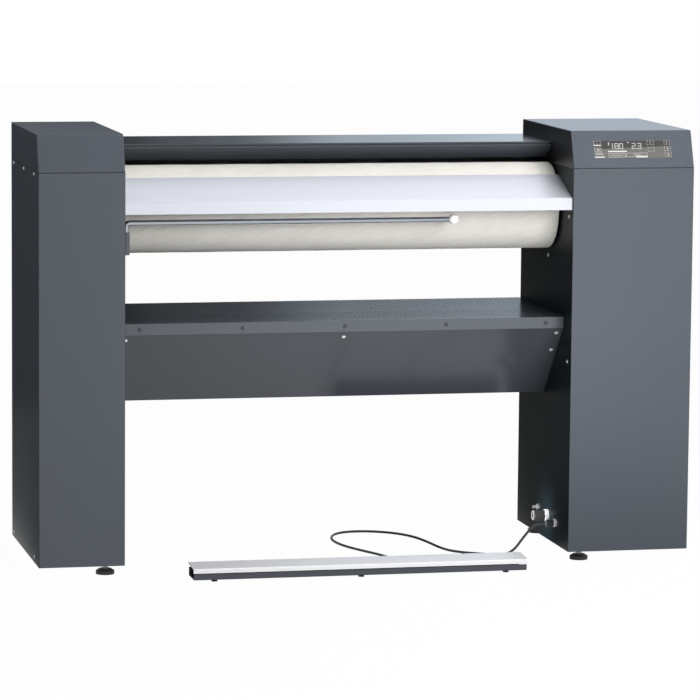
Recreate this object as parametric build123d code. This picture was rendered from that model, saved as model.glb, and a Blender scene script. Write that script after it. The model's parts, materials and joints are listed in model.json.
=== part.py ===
from build123d import *
import os
from math import atan2, cos, degrees, hypot, pi, radians, sin, tan

# Flatwork ironer, millimetres.  X runs along the roller, +Y points away from the operator, Z = 0 is
# the floor.  The origin lies under the middle of the machine with its pedal.

# Overall size
WIDTH = 1550.0            # over both columns
HEIGHT = 1018.0           # floor to the top of the hoods
DEPTH = 463.0             # of the columns, front to back
LEFT_WIDTH = 199.0        # of the left column
RIGHT_WIDTH = 293.0       # of the right column, which holds the drive
PEDAL_REACH = 105.0       # columns' front to the pedal's front edge
BASE_Z = 25.0             # lower edge of the column covers
HOOD_HEIGHT = 86.0
HOOD_LEAN = 33.0          # set-back of a hood's front at its top
SHEET = 1.5               # cover sheet
FRAME_SHEET = 2.5         # frame sheet
SEAM = 0.6                # open seam between two covers
FOLD = 2.0                # outer radius of a folded cover corner
RUNNING = 0.05            # radial play of a shaft in its bearing
AIR = 0.4                 # least air between pieces that move past each other

FRONT = -(DEPTH - PEDAL_REACH) / 2
BACK = FRONT + DEPTH
LEFT = -WIDTH / 2
RIGHT = WIDTH / 2
LEFT_WALL = LEFT + LEFT_WIDTH       # the two walls that face the working gap
RIGHT_WALL = RIGHT - RIGHT_WIDTH
GAP_LEFT = LEFT_WALL + SEAM         # ends of the covers between them
GAP_RIGHT = RIGHT_WALL - SEAM
GAP_MIDDLE = (LEFT_WALL + RIGHT_WALL) / 2
SEAM_Z = HEIGHT - HOOD_HEIGHT       # lower edge of the hoods

# Roller
ROLLER_SETBACK = 205.0    # columns' front to the roller's axis
ROLLER_DROP = 187.7       # top of the hoods to the roller's axis
ROLLER_R = 102.8          # over the cloth
CLOTH = 2.5
PADDING = 7.0
DRUM_WALL = 4.0
CHEEK = 6.0               # end disc of the drum
CHEEK_HOLES = 4
CHEEK_HOLE_R = 11.0
CHEEK_HOLE_PITCH_R = 38.0
ROLLER_END_AIR = 4.2      # roller end to wall
CLOTH_EDGE_R = 4.0        # rounded end of the dressed roller
CLOTH_INNER_R = 58.0      # how far the cloth is drawn in over the ends
SHAFT_R = 15.0
SHAFT_END = 6.0           # shaft past its bearing or pulley
BEARING_R = 42.0
BEARING_FLANGE = 8.0
BEARING_BARREL_R = 29.4
BEARING_LENGTH = 20.0
ROLLER_Y = FRONT + ROLLER_SETBACK
ROLLER_Z = HEIGHT - ROLLER_DROP

# Heated trough and its lift
TROUGH_GAP = 0.8          # air between cloth and sole in the ironing position
SOLE = 6.0
ELEMENT_R = 3.9
ELEMENT_AIR = 0.1         # element to sole and to blanket
ELEMENT_INSET = 12.0      # trough end to element
ELEMENT_ANGLES = (2, 24, 46, 66)
BLANKET = 8.0
BLANKET_AIR = 0.2
BLANKET_INSET = 3.0
BLANKET_TURN = 3.0        # degrees that the blanket stays short of the trough's ends
SHELL = 1.2
TROUGH_TOP_ANGLE = 76.0   # measured up from straight behind the roller's axis
TROUGH_LOW_ANGLE = -18.0
TROUGH_OPEN = 3.4         # degrees that the trough stands open at rest
TROUGH_END_AIR = 4.0
PIVOT_INSET = 31.0        # columns' back to the trough's pivot
PIVOT_DROP = 102.3        # roller's axis to the trough's pivot
PIVOT_R = 10.0
PIVOT_PIN = 24.0          # left pivot pin past the wall
PIVOT_BOSS_R = 15.0
BUSH_R = 16.0
BUSH_FLANGE = 6.0
BUSH_LENGTH = 18.0
ARM = 6.0
ARM_INSET = 9.0
ARM_EDGE_R = 5.0
ARM_HIGH_ANGLE = 48.0
ARM_LOW_ANGLE = -13.0
LEVER_REACH = 67.0        # trough pivot to cam follower
LEVER_DROP = 8.0
LEVER = 8.0
LEVER_END_R = 8.0
LEVER_INSET = 30.0        # right wall to the lever's near face
FOLLOWER_R = 10.0
FOLLOWER_PIN_R = 4.0
FOLLOWER_WIDTH = 10.0
CAM_DROP = 46.0           # follower's axis to cam's axis, trough open
CAM_TURN = 120.0          # degrees of the cam from open to closed
CAM_HEEL_R = 22.0         # low side of the cam
CAM_HUB_R = 14.0
CAM_SHAFT_R = 6.0
CAM_SHAFT = 22.0
LIFT_BOX = (42.0, 64.0, 76.0)       # lift motor's gearbox along X, Y and Z
LIFT_BOX_DROP = 6.0
LIFT_BARREL_R = 28.0
LIFT_BARREL = 78.0
PIVOT_Y = BACK - PIVOT_INSET
PIVOT_Z = ROLLER_Z - PIVOT_DROP

# Drive
DRIVE_DROP = 208.3        # roller's axis to the motor's axis
ROLLER_PULLEY_R = 75.0
DRIVE_PULLEY_R = 25.0
PULLEY_RIM = 3.0
PULLEY_RIM_RISE = 4.0
BELT = 3.0
BELT_WIDTH = 18.0
BELT_SIDE = 1.0           # belt to each pulley rim
PULLEY_INSET = 28.0       # right wall to the pulleys' near face
PLATE_INSET = 62.0        # right wall to the motor plate
PLATE_DROP = 62.0         # motor's axis to the plate's foot
MOTOR_BOX = (60.0, 110.0, 100.0)    # drive motor's gearbox along X, Y and Z
MOTOR_R = 52.0
MOTOR_LENGTH = 135.0
MOTOR_EDGE = 8.0
DRIVE_SHAFT_R = 8.0
DRIVE_SHAFT = 20.0        # shaft inside the motor
DRIVE_Z = ROLLER_Z - DRIVE_DROP

# Heater cover and finger guard, measured from the roller
COVER_CLEAR = 48.9        # roller's top to the cover's top
COVER_FRONT = 9.0         # cover's front lip ahead of the roller's axis
COVER_LIP = 4.0           # height of that lip
COVER_BEND = 0.5          # hollow side of the lip's fold
COVER_END_FOLD = 12.0
GUARD_PROUD = 1.0         # guard's nose ahead of that lip
GUARD_FLANGE = 16.0       # depth of its top, under the cover
GUARD_NOSE_DROP = 10.0    # cover's top to the lower bend of the nose
GUARD_NOSE_R = 1.5
GUARD_FOOT = 22.0         # guard's foot behind the roller's axis
GUARD_FOOT_CLEAR = 10.0   # roller's top to the guard's foot
GUARD_PIN = 12.0          # guard's pin behind the roller's axis
GUARD_PIN_DROP = 7.0
GUARD_PIN_R = 3.0
GUARD_PIN_AIR = 1.6       # cover's end to the pin's end
GUARD_EAR_INSET = 3.0
GUARD_EAR = 3.0
REAR_COVER_DROP = 92.3    # roller's axis to the rear cover's foot
COVER_Z = ROLLER_Z + ROLLER_R + COVER_CLEAR
COVER_FRONT_Y = ROLLER_Y - COVER_FRONT
GUARD_NOSE_Y = COVER_FRONT_Y - GUARD_PROUD
GUARD_TOP_Z = COVER_Z - COVER_LIP - SEAM
GUARD_PIN_Y = ROLLER_Y + GUARD_PIN
GUARD_PIN_Z = COVER_Z - GUARD_PIN_DROP - SHEET
REAR_COVER_Z = ROLLER_Z - REAR_COVER_DROP

# Feed board
BOARD_FRONT = 7.0         # columns' front to the board's lip
BOARD_RISE = 32.7         # roller's axis up to the board's front edge
BOARD_LIP = 28.4          # height of the lip
BOARD_BACK_ANGLE = 132.2  # where the board ends over the roller
BOARD_AIR = 2.7           # board's end to the cloth
BOARD = 2.0               # feed board's sheet
BOARD_FOLD = 1.5
BRACKET = 3.0
BRACKET_SETBACK = 8.0     # board's lip to its bracket
BRACKET_LENGTH = 80.0
BRACKET_FLANGE = 20.0
BRACKET_FOOT = 6.0        # lip's lower edge up to the bracket
BRACKET_END = 12.0
BOARD_FRONT_Y = FRONT + BOARD_FRONT
BOARD_FRONT_Z = ROLLER_Z + BOARD_RISE
BOARD_LIP_Z = BOARD_FRONT_Z - BOARD_LIP

# Laundry shelf and the beam under it
SHELF_FRONT = 66.0        # columns' front to the shelf's lip
SHELF_Z = 576.6
SHELF_LIP = 26.4
SHELF_LEVEL = 174.0       # depth of the level strip in front
SHELF_RISE = 3.0          # of the part behind it
SHELF_FOLD = 1.0
BEAM_FOOT = 235.0         # columns' front to the beam's lower edge
BEAM_FOOT_Z = 375.5
BEAM_FLANGE = 27.0
TUBE = 40.0               # square cross tubes in the beam
TUBE_WALL = 2.5
TUBE_INSET = 150.0        # columns' back to the tubes

# Laundry rod
ROD_R = 6.0
ROD_SETBACK = 50.0
ROD_DROP = 18.1           # roller's axis to the rod
ROD_PIVOT_INSET = 9.2     # left wall to the rod's upright leg
ROD_REACH = 772.8         # upright leg to the middle of the knob
ROD_BEND = 10.0
KNOB_R = 12.5
HOLDER_R = 9.0
HOLDER_DROP = 21.0        # rod's axis to the holder's top
HOLDER_LENGTH = 52.6
HOLDER_FLOOR = 4.0
HOLDER_WEB = 10.0
HOLDER_PLATE = (3.0, 28.0)          # thickness and width of its foot on the wall
ROD_Z = ROLLER_Z - ROD_DROP
HOLDER_TOP_Z = ROD_Z - HOLDER_DROP
HOLDER_LOW_Z = HOLDER_TOP_Z - HOLDER_LENGTH

# Feet
FOOT_INSET = 39.0         # wall to foot axis
FOOT_FRONT = 45.0         # columns' front to the front feet
FOOT_REAR = 38.0          # columns' back to the back feet
FOOT_PAD_R = 21.5
FOOT_PAD = 13.0
FOOT_CONE = (5.0, 8.0)    # height and breadth of the pad's sloping shoulder
FOOT_STUD_R = 6.0
FOOT_STUD_TOP = 80.0
FOOT_BOSS = 6.0           # wall of the threaded boss over a foot
FOOT_BOSS_HEIGHT = 18.0
FOOT_NUT = 8.0
FOOT_NUT_AF = 19.0

# Pedal
PEDAL_LENGTH = 790.0
PEDAL_X = -39.0           # middle of the pedal
PEDAL_DEPTH = 74.0
PEDAL_FOOT = 4.0
PEDAL_FOOT_R = 7.0
PEDAL_FOOT_INSET = 9.0
PEDAL_FOOT_END = 50.4     # pedal's end to its outer feet
PEDAL_LIP_Z = 20.5
PEDAL_FRONT_Z = 31.0
PEDAL_BACK_Z = 35.0
PEDAL_PLATE = 2.0
PEDAL_SHEET = 2.0
PEDAL_FOLD = 1.0
PEDAL_BASE_FRONT_Z = 18.0
PEDAL_BASE_BACK_Z = 24.0
PEDAL_BASE_INSET = 2.0    # plate's end to the base's end
PEDAL_LIP_AIR = 1.6
PEDAL_PIN_R = 2.5
PEDAL_PIN_Z = 26.0
PEDAL_PIN_INSET = 8.0     # pedal's rear edge to the hinge pin
PEDAL_PIN_END = 3.0       # pin past the outer ears
PEDAL_EAR = 3.0
PEDAL_EAR_R = 5.0
PEDAL_EAR_INSETS = (10.0, 260.0)    # pedal's end to its ears
SWITCH = (32.0, 18.0, 14.0)
SWITCH_SETBACK = 24.0
SWITCH_BUTTON_R = 3.0
SWITCH_BUTTON = 2.0
SWITCH_BUTTON_SHIFT = 6.0
SPRING_SPACING = 200.0    # middle of the pedal to a leaf spring
SPRING_WIDTH = 18.0
SPRING = 0.8
SPRING_FOOT = 12.0
SPRING_INSET = 26.0       # pedal's rear edge to the spring's bend
SPRING_REACH = 18.0       # pedal's front edge to the spring's tip
SPRING_BEND = 2.0

# Cable entries low on the right wall
MAINS_SETBACK = 185.0
MAINS_Z = 83.0
MAINS_RING_R = 14.5
MAINS_RING = 9.0
MAINS_BODY_R = 13.5
MAINS_BODY = 29.0
MAINS_BORE_R = 9.0
MAINS_THREAD_R = 11.5
PEDAL_GLAND_SETBACK = 109.0
PEDAL_GLAND_Z = 76.5
PEDAL_GLAND_RING_R = 10.0
PEDAL_GLAND_RING = 7.0
PEDAL_GLAND_BODY_R = 8.5
PEDAL_GLAND_BODY = 20.0
PEDAL_GLAND_THREAD_R = 7.0
GLAND_THREAD = 12.0       # thread behind the wall
RING_EDGE = 1.5
MAINS_EDGE = 4.0
PEDAL_GLAND_EDGE = 3.0
BOND_SETBACK = 262.0
BOND_Z = 91.0
BOND_R = 4.0
BOND_REACH = 16.0
BOND_TAIL = 10.0
BOND_NUT_AF = 13.0
BOND_NUT = 6.0
CORD_R = 3.0

# Display on the right hood
DISPLAY_WIDTH = 183.0
DISPLAY_HEIGHT = 42.0
DISPLAY_UP = 45.5         # seam to the middle of the display, along the slope
DISPLAY_GLASS = 2.0
DISPLAY_CORNER_R = 3.0
DISPLAY_FIT = 0.15
CARRIER = 3.0
CARRIER_BORDER = 5.0      # carrier past the window
BOARD_BORDER = 4.0        # circuit board short of the carrier's border
LAMINATE = 1.6

# Screws
SCREW_HEAD_R = 4.6
SCREW_HEAD = 2.2
SCREW_EDGE = 1.2
SCREW_R = 2.0
SCREW_LENGTH = 7.0
SCREW_FIT = 0.2
SIDE_SCREW_HIGH = 8.0     # seam down to the side covers' upper screws
SIDE_SCREW_LOW = 14.0     # cover's lower edge up to their lower screws
SIDE_SCREW_FRONT = 72.0
SIDE_SCREW_MIDDLE = 243.0
SIDE_SCREW_BACK = 46.0
BOARD_SCREW = (34.8, 13.4)          # set-back and drop under the roller's axis
BEARING_SCREW = (5.8, 121.6)        # behind and under the roller's axis
BEAM_SCREW = (31.6, 102.0)          # set-back and drop under the shelf
LIP_SCREWS = 5
LIP_SCREW_INSET = 44.6
PANEL_SCREW_INSET = 14.0
PANEL_SCREW_STEPS = (0.075, 0.335)  # shares of the slanted panel's height

# Folds and frames of the columns
RETURN = 16.0             # inward fold along a cover's free edge
POST = 30.0
POST_INSET = PLATE_INSET + FRAME_SHEET
TRAY = 40.0               # height of the base tray
TRAY_AIR = 2.0            # frame to cover
HEAD_DROP = 5.0           # seam to the frame's head plate
SHAFT_HOLE = 4.0          # hole round a shaft, past its radius
LOUVRES = 8
LOUVRE_LOW = 95.0         # cover's lower edge to the first louvre
LOUVRE_PITCH = 18.0
LOUVRE = 6.0
LOUVRE_INSET = 30.0
HEAD_Z = SEAM_Z - HEAD_DROP


def block(x0, x1, y0, y1, z0, z1):
    """A box between two limits on each axis, given in either order."""
    size = (abs(x1 - x0), abs(y1 - y0), abs(z1 - z0))
    return Pos((x0 + x1) / 2, (y0 + y1) / 2, (z0 + z1) / 2) * Box(*size)


def rod_x(y, z, radius, x0, x1):
    """A round bar along X."""
    bar = Cylinder(radius, abs(x1 - x0), rotation=(0, 90, 0))
    return Pos((x0 + x1) / 2, y, z) * bar


def rod_z(x, y, radius, z0, z1):
    """A round bar along Z."""
    return Pos(x, y, (z0 + z1) / 2) * Cylinder(radius, z1 - z0)


def along_x(face, x0, x1):
    """A YZ outline drawn at X = 0, run from x0 to x1."""
    low, high = sorted((x0, x1))
    return Pos(low, 0, 0) * extrude(Plane.YZ * face, amount=high - low)


def polar(radius, angle):
    """A point round the roller's axis, its angle measured up from straight behind."""
    return (ROLLER_Y + radius * cos(radians(angle)), ROLLER_Z + radius * sin(radians(angle)))


def beside(points, distance):
    """The points moved sideways by a distance, to the left of their way, with mitred corners."""
    moved = []
    for i, (y, z) in enumerate(points):
        before = points[max(i - 1, 0)]
        after = points[min(i + 1, len(points) - 1)]
        into = atan2(z - before[1], y - before[0]) if i else atan2(after[1] - z, after[0] - y)
        out = atan2(after[1] - z, after[0] - y) if i < len(points) - 1 else into
        middle = (into + out) / 2
        if abs(out - into) > pi:
            middle += pi
        reach = distance / cos(middle - into)
        moved.append((y - reach * sin(middle), z + reach * cos(middle)))
    return moved


def folded(points, thickness, bend):
    """Cross-section of a folded sheet.

    Its visible side follows the points, and the sheet's thickness lies to the left of their way
    (to the right if negative).  Each corner has the bend radius on its hollow side.
    """
    other = beside(points, thickness)
    sheet = abs(thickness)
    own_radii = []
    other_radii = []
    for (y0, z0), (y1, z1), (y2, z2) in zip(points, points[1:], points[2:]):
        turns_left = (y1 - y0) * (z2 - z1) - (z1 - z0) * (y2 - y1) > 0
        hollow_on_other_side = turns_left == (thickness > 0)
        own_radii.append(bend + sheet if hollow_on_other_side else bend)
        other_radii.append(bend if hollow_on_other_side else bend + sheet)
    if own_radii:
        near = FilletPolyline(*points, radius=own_radii)
        far = FilletPolyline(*other, radius=other_radii)
    else:
        near = Line(*points)
        far = Line(*other)
    edges = near.edges() + far.edges() + [Line(near @ 0, far @ 0), Line(near @ 1, far @ 1)]
    return make_face(edges)


def hexagon_bar(across_flats, length):
    """A hexagonal bar along Z, standing on Z = 0."""
    return extrude(RegularPolygon(across_flats / 2, 6, major_radius=False), amount=length)


def screw(place):
    """A pan-head screw: its head seats at the place and its shank runs back along -Z."""
    head = Pos(0, 0, SCREW_HEAD / 2) * Cylinder(SCREW_HEAD_R, SCREW_HEAD)
    head = chamfer(head.edges().filter_by(GeomType.CIRCLE).sort_by(Axis.Z)[-1], SCREW_EDGE)
    shank = Pos(0, 0, -SCREW_LENGTH / 2) * Cylinder(SCREW_R, SCREW_LENGTH)
    return place * (head + shank)


def screw_hole(place):
    """The round hole that a screw's shank passes."""
    return place * Cylinder(SCREW_R + SCREW_FIT, 2 * SCREW_LENGTH)


def facing(x, y, z, normal):
    """A plane at a point, looking along a normal."""
    return Plane(origin=(x, y, z), z_dir=normal)


def side_screw_places(outer):
    """Heads on a column's outer side cover."""
    away = 1 if outer > 0 else -1
    high = SEAM_Z - SIDE_SCREW_HIGH
    low = BASE_Z + SIDE_SCREW_LOW
    front = FRONT + SIDE_SCREW_FRONT
    back = BACK - SIDE_SCREW_BACK
    spots = [(back, high), (FRONT + SIDE_SCREW_MIDDLE, high), (front, high), (back, low), (front, low)]
    return [facing(outer, y, z, (away, 0, 0)) for y, z in spots]


def wall_screw_places(wall):
    """Heads on a wall of the gap, which hold the board's bracket, the bearing and the beam."""
    away = -1 if wall > 0 else 1
    spots = [(FRONT + BOARD_SCREW[0], ROLLER_Z - BOARD_SCREW[1]),
             (ROLLER_Y + BEARING_SCREW[0], ROLLER_Z - BEARING_SCREW[1]),
             (FRONT + BEAM_SCREW[0], SHELF_Z - BEAM_SCREW[1])]
    return [facing(wall, y, z, (away, 0, 0)) for y, z in spots]


PANEL_TOP = (FRONT + SHELF_FRONT + SHEET + SEAM, SHELF_Z - SHELF_LIP)
PANEL_FOOT = (FRONT + BEAM_FOOT, BEAM_FOOT_Z)


def panel_screw_places():
    """Heads on the beam's slanted front: two at each end and one in the middle."""
    ends = (LEFT_WALL + PANEL_SCREW_INSET, RIGHT_WALL - PANEL_SCREW_INSET)
    near, far = PANEL_SCREW_STEPS
    spots = [(x, share) for x in ends for share in (near, far)] + [(GAP_MIDDLE, near)]
    run_y = PANEL_FOOT[0] - PANEL_TOP[0]
    run_z = PANEL_FOOT[1] - PANEL_TOP[1]
    return [facing(x, PANEL_TOP[0] + share * run_y, PANEL_TOP[1] + share * run_z, (0, run_z, -run_y))
            for x, share in spots]


def lip_screw_places():
    """Heads in a row along the shelf's lip."""
    z = SHELF_Z - SHELF_LIP / 2
    spacing = (RIGHT_WALL - LEFT_WALL - 2 * LIP_SCREW_INSET) / (LIP_SCREWS - 1)
    xs = [LEFT_WALL + LIP_SCREW_INSET + spacing * i for i in range(LIP_SCREWS)]
    return [facing(x, FRONT + SHELF_FRONT, z, (0, -1, 0)) for x in xs]


# ---------------------------------------------------------------------------------------------
# Columns

def casing(outer, wall):
    """Front and outer side of a column, folded from one sheet, with a return at the back."""
    inward = 1 if wall > outer else -1
    top = SEAM_Z - SEAM
    body = block(outer, wall, FRONT, BACK, BASE_Z, top)
    corners = body.edges().filter_by(Axis.Z).sort_by(lambda e: abs(e.center().X - outer))[:2]
    body = fillet(corners, FOLD)
    inside = block(outer + inward * SHEET, wall + inward * SHEET,
                   FRONT + SHEET, BACK - SHEET, BASE_Z - SHEET, top + SHEET)
    rear_window = block(outer + inward * RETURN, wall + inward * SHEET,
                        BACK - 2 * SHEET, BACK + SHEET, BASE_Z - SHEET, top + SHEET)
    body = body - inside - rear_window
    for place in side_screw_places(outer):
        body -= screw_hole(place)
    return body


def inner_panel(outer, wall):
    """Wall of a column that faces the gap: a tray with folds at its front, back, foot and head."""
    outward = 1 if outer > wall else -1
    front = FRONT + SHEET
    back = BACK - SHEET
    top = SEAM_Z - SEAM
    tray = block(wall, wall + outward * RETURN, front, back, BASE_Z, top)
    hollow = block(wall + outward * SHEET, wall + outward * (RETURN + SHEET),
                   front + SHEET, back - SHEET, BASE_Z + SHEET, top - SHEET)
    tray -= hollow
    tray -= rod_x(ROLLER_Y, ROLLER_Z, SHAFT_R + SHAFT_HOLE, wall - 2 * SHEET, wall + 2 * SHEET)
    tray -= rod_x(PIVOT_Y, PIVOT_Z, BUSH_R, wall - 2 * SHEET, wall + 2 * SHEET)
    for place in wall_screw_places(wall):
        tray -= screw_hole(place)
    if wall > 0:
        entries = [(MAINS_SETBACK, MAINS_Z, MAINS_THREAD_R), (BOND_SETBACK, BOND_Z, BOND_R),
                   (PEDAL_GLAND_SETBACK, PEDAL_GLAND_Z, PEDAL_GLAND_THREAD_R)]
        for setback, z, radius in entries:
            tray -= rod_x(FRONT + setback, z, radius, wall - 2 * SHEET, wall + 2 * SHEET)
    for y in (FRONT + FOOT_FRONT, BACK - FOOT_REAR):
        tray -= rod_z(wall + outward * FOOT_INSET, y, FOOT_PAD_R, BASE_Z - SHEET, BASE_Z + 2 * SHEET)
    return tray


def rear_panel(outer, wall):
    """Lift-off back of a column, with louvres low down and a finger fold at its foot."""
    inward = 1 if wall > outer else -1
    near = outer + inward * (RETURN + SEAM)
    panel = block(near, wall, BACK - SHEET, BACK, BASE_Z, SEAM_Z - SEAM)
    slot_length = abs(wall - near) - 2 * LOUVRE_INSET
    slot = Rot(90, 0, 0) * extrude(SlotOverall(slot_length, LOUVRE), amount=2 * SHEET, both=True)
    for i in range(LOUVRES):
        z = BASE_Z + LOUVRE_LOW + LOUVRE_PITCH * i
        panel -= Pos((near + wall) / 2, BACK - SHEET / 2, z) * slot
    return panel


def hood(outer, wall):
    """Sloping cap of a column, an upturned tray."""
    inward = 1 if wall > outer else -1
    outline = [(FRONT, SEAM_Z), (FRONT + HOOD_LEAN, HEIGHT), (BACK, HEIGHT), (BACK, SEAM_Z)]
    cap = along_x(make_face(Polyline(*outline, close=True)), outer, wall)
    soft = [e for e in cap.edges() if e.center().Z > SEAM_Z + SHEET]
    cap = fillet(soft, FOLD)
    low = SEAM_Z - SHEET
    slope = HOOD_LEAN / HOOD_HEIGHT
    fall = (low - SEAM_Z) * slope
    lean = hypot(1, slope) * SHEET
    roof = HEIGHT - SHEET
    roof_y = (roof - SEAM_Z) * slope
    hollow = [(FRONT + fall + lean, low), (FRONT + roof_y + lean, roof),
              (BACK - SHEET, roof), (BACK - SHEET, low)]
    cap -= along_x(make_face(Polyline(*hollow, close=True)),
                   outer + inward * SHEET, wall - inward * SHEET)
    return cap


def frame(outer, wall):
    """Welded column frame: base tray, two posts and a head plate."""
    outward = 1 if outer > wall else -1
    x0 = wall + outward * (RETURN + TRAY_AIR)
    x1 = outer - outward * (SHEET + TRAY_AIR)
    y0 = FRONT + RETURN / 2
    y1 = BACK - RETURN / 2
    base = BASE_Z + SHEET
    head = BASE_Z + TRAY
    tray = block(wall + outward * SHEET * 2, x1, y0, y1, base, head)
    tray -= block(wall + outward * (SHEET * 2 + FRAME_SHEET), x1 - outward * FRAME_SHEET,
                  y0 + FRAME_SHEET, y1 - FRAME_SHEET, base + FRAME_SHEET, head + FRAME_SHEET)
    near = wall + outward * POST_INSET
    shape = tray
    for y in (y0, y1 - POST):
        post = block(near, near + outward * POST, y, y + POST, base, HEAD_Z)
        post -= block(near + outward * FRAME_SHEET, near + outward * (POST + FRAME_SHEET),
                      y + FRAME_SHEET, y + POST - FRAME_SHEET, head, HEAD_Z - FRAME_SHEET)
        shape += post
    shape += block(x0, x1, y0, y1, HEAD_Z - FRAME_SHEET, HEAD_Z)
    for y in (FRONT + FOOT_FRONT, BACK - FOOT_REAR):
        x = wall + outward * FOOT_INSET
        shape += rod_z(x, y, FOOT_STUD_R + FOOT_BOSS, base, base + FOOT_BOSS_HEIGHT)
        shape -= rod_z(x, y, FOOT_STUD_R + RUNNING, BASE_Z, head)
    for place in side_screw_places(outer):
        shape -= screw_hole(place)
    return shape


def right_frame():
    """The right frame also has the motor plate between its posts."""
    x0 = RIGHT_WALL + PLATE_INSET
    x1 = x0 + FRAME_SHEET
    y0 = FRONT + RETURN / 2
    y1 = BACK - RETURN / 2
    plate = block(x0, x1, y0, y1, DRIVE_Z - PLATE_DROP, HEAD_Z - FRAME_SHEET)
    holes = [(ROLLER_Y, DRIVE_Z, DRIVE_SHAFT_R), (cam_y(), cam_z(), CAM_SHAFT_R),
             (ROLLER_Y, ROLLER_Z, SHAFT_R)]
    for y, z, radius in holes:
        plate -= rod_x(y, z, radius + SHAFT_HOLE, x0 - SHEET, x1 + SHEET)
    return frame(RIGHT, RIGHT_WALL) + plate


def display_plane():
    """Plane on the right hood's slope, at the middle of the display, looking out."""
    share = DISPLAY_UP / hypot(HOOD_LEAN, HOOD_HEIGHT)
    normal = (0, -HOOD_HEIGHT, HOOD_LEAN)
    origin = ((RIGHT_WALL + RIGHT) / 2, FRONT + share * HOOD_LEAN, SEAM_Z + share * HOOD_HEIGHT)
    return Plane(origin=origin, x_dir=(1, 0, 0), z_dir=normal)


def display_pane(play, thickness):
    """The window's outline, widened by some play, sunk into the slope."""
    outline = RectangleRounded(DISPLAY_WIDTH + 2 * play, DISPLAY_HEIGHT + 2 * play, DISPLAY_CORNER_R)
    return display_plane() * extrude(outline, amount=-thickness)


def control_board():
    """Circuit board behind the display, on its carrier."""
    width = DISPLAY_WIDTH + 2 * CARRIER_BORDER
    height = DISPLAY_HEIGHT + 2 * CARRIER_BORDER
    carrier = Pos(0, 0, -DISPLAY_GLASS - CARRIER / 2) * Box(width, height, CARRIER)
    board = Box(width - 2 * BOARD_BORDER, height - 2 * BOARD_BORDER, LAMINATE)
    return display_plane() * (carrier + Pos(0, 0, -DISPLAY_GLASS - CARRIER - LAMINATE / 2) * board)


# ---------------------------------------------------------------------------------------------
# Roller

ROLLER_LEFT = LEFT_WALL + ROLLER_END_AIR
ROLLER_RIGHT = RIGHT_WALL - ROLLER_END_AIR


def turned(points):
    """A ring turned about the roller's axis from (x, radius) points."""
    face = Plane.XZ * make_face(Polyline(*points, close=True))
    return Pos(0, ROLLER_Y, ROLLER_Z) * revolve(face, Axis.X)


def roller_drum():
    """Steel tube with two welded cheeks, pierced by four holes each, on a through shaft."""
    outer = ROLLER_R - CLOTH - PADDING
    inner = outer - DRUM_WALL
    x0 = ROLLER_LEFT + CLOTH
    x1 = ROLLER_RIGHT - CLOTH
    drum = turned([(x0, 0), (x0, outer), (x1, outer), (x1, 0)])
    drum -= turned([(x0 + CHEEK, 0), (x0 + CHEEK, inner), (x1 - CHEEK, inner), (x1 - CHEEK, 0)])
    for i in range(CHEEK_HOLES):
        turn = 2 * pi * (i + 0.5) / CHEEK_HOLES
        y = ROLLER_Y + CHEEK_HOLE_PITCH_R * cos(turn)
        z = ROLLER_Z + CHEEK_HOLE_PITCH_R * sin(turn)
        drum -= rod_x(y, z, CHEEK_HOLE_R, x0 - CHEEK, x1 + CHEEK)
    shaft_left = LEFT_WALL - SHEET - BEARING_LENGTH - SHAFT_END
    shaft_right = RIGHT_WALL + PULLEY_INSET + BELT_WIDTH + 2 * BELT_SIDE + SHAFT_END
    return drum + rod_x(ROLLER_Y, ROLLER_Z, SHAFT_R, shaft_left, shaft_right)


def outer_rims(ring):
    """The two largest circles of a turned piece."""
    return ring.edges().filter_by(GeomType.CIRCLE).sort_by(lambda e: -e.length)[:2]


def roller_padding():
    """Springy padding wound on the drum, rounded as the cloth over it."""
    inner = ROLLER_R - CLOTH - PADDING
    x0 = ROLLER_LEFT + CLOTH
    x1 = ROLLER_RIGHT - CLOTH
    pad = turned([(x0, inner), (x0, inner + PADDING), (x1, inner + PADDING), (x1, inner)])
    return fillet(outer_rims(pad), CLOTH_EDGE_R - CLOTH)


def roller_cloth():
    """Cloth cover, drawn in round the ends of the padding."""
    inner = ROLLER_R - CLOTH
    sleeve = turned([(ROLLER_LEFT, CLOTH_INNER_R), (ROLLER_LEFT, ROLLER_R),
                     (ROLLER_RIGHT, ROLLER_R), (ROLLER_RIGHT, CLOTH_INNER_R)])
    sleeve = fillet(outer_rims(sleeve), CLOTH_EDGE_R)
    x0 = ROLLER_LEFT + CLOTH
    x1 = ROLLER_RIGHT - CLOTH
    core = turned([(x0, 0), (x0, inner), (x1, inner), (x1, 0)])
    return sleeve - fillet(outer_rims(core), CLOTH_EDGE_R - CLOTH)


def roller_bearings():
    """Flange bearings on the inside of both walls."""
    pair = []
    for wall, outward in ((LEFT_WALL, -1), (RIGHT_WALL, 1)):
        x0 = wall + outward * SHEET
        housing = rod_x(ROLLER_Y, ROLLER_Z, BEARING_R, x0, x0 + outward * BEARING_FLANGE)
        housing += rod_x(ROLLER_Y, ROLLER_Z, BEARING_BARREL_R, x0, x0 + outward * BEARING_LENGTH)
        housing -= rod_x(ROLLER_Y, ROLLER_Z, SHAFT_R + RUNNING, wall, x0 + outward * 2 * BEARING_LENGTH)
        pair.append(housing)
    return Compound(pair)


def pulley(z, radius, bore, x0):
    """Flat belt pulley with two rims."""
    x1 = x0 + BELT_WIDTH + 2 * BELT_SIDE
    wheel = rod_x(ROLLER_Y, z, radius, x0, x1)
    wheel += rod_x(ROLLER_Y, z, radius + PULLEY_RIM_RISE, x0 - PULLEY_RIM, x0)
    wheel += rod_x(ROLLER_Y, z, radius + PULLEY_RIM_RISE, x1, x1 + PULLEY_RIM)
    if bore:
        wheel -= rod_x(ROLLER_Y, z, bore, x0 - 2 * PULLEY_RIM, x1 + 2 * PULLEY_RIM)
    return wheel


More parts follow.
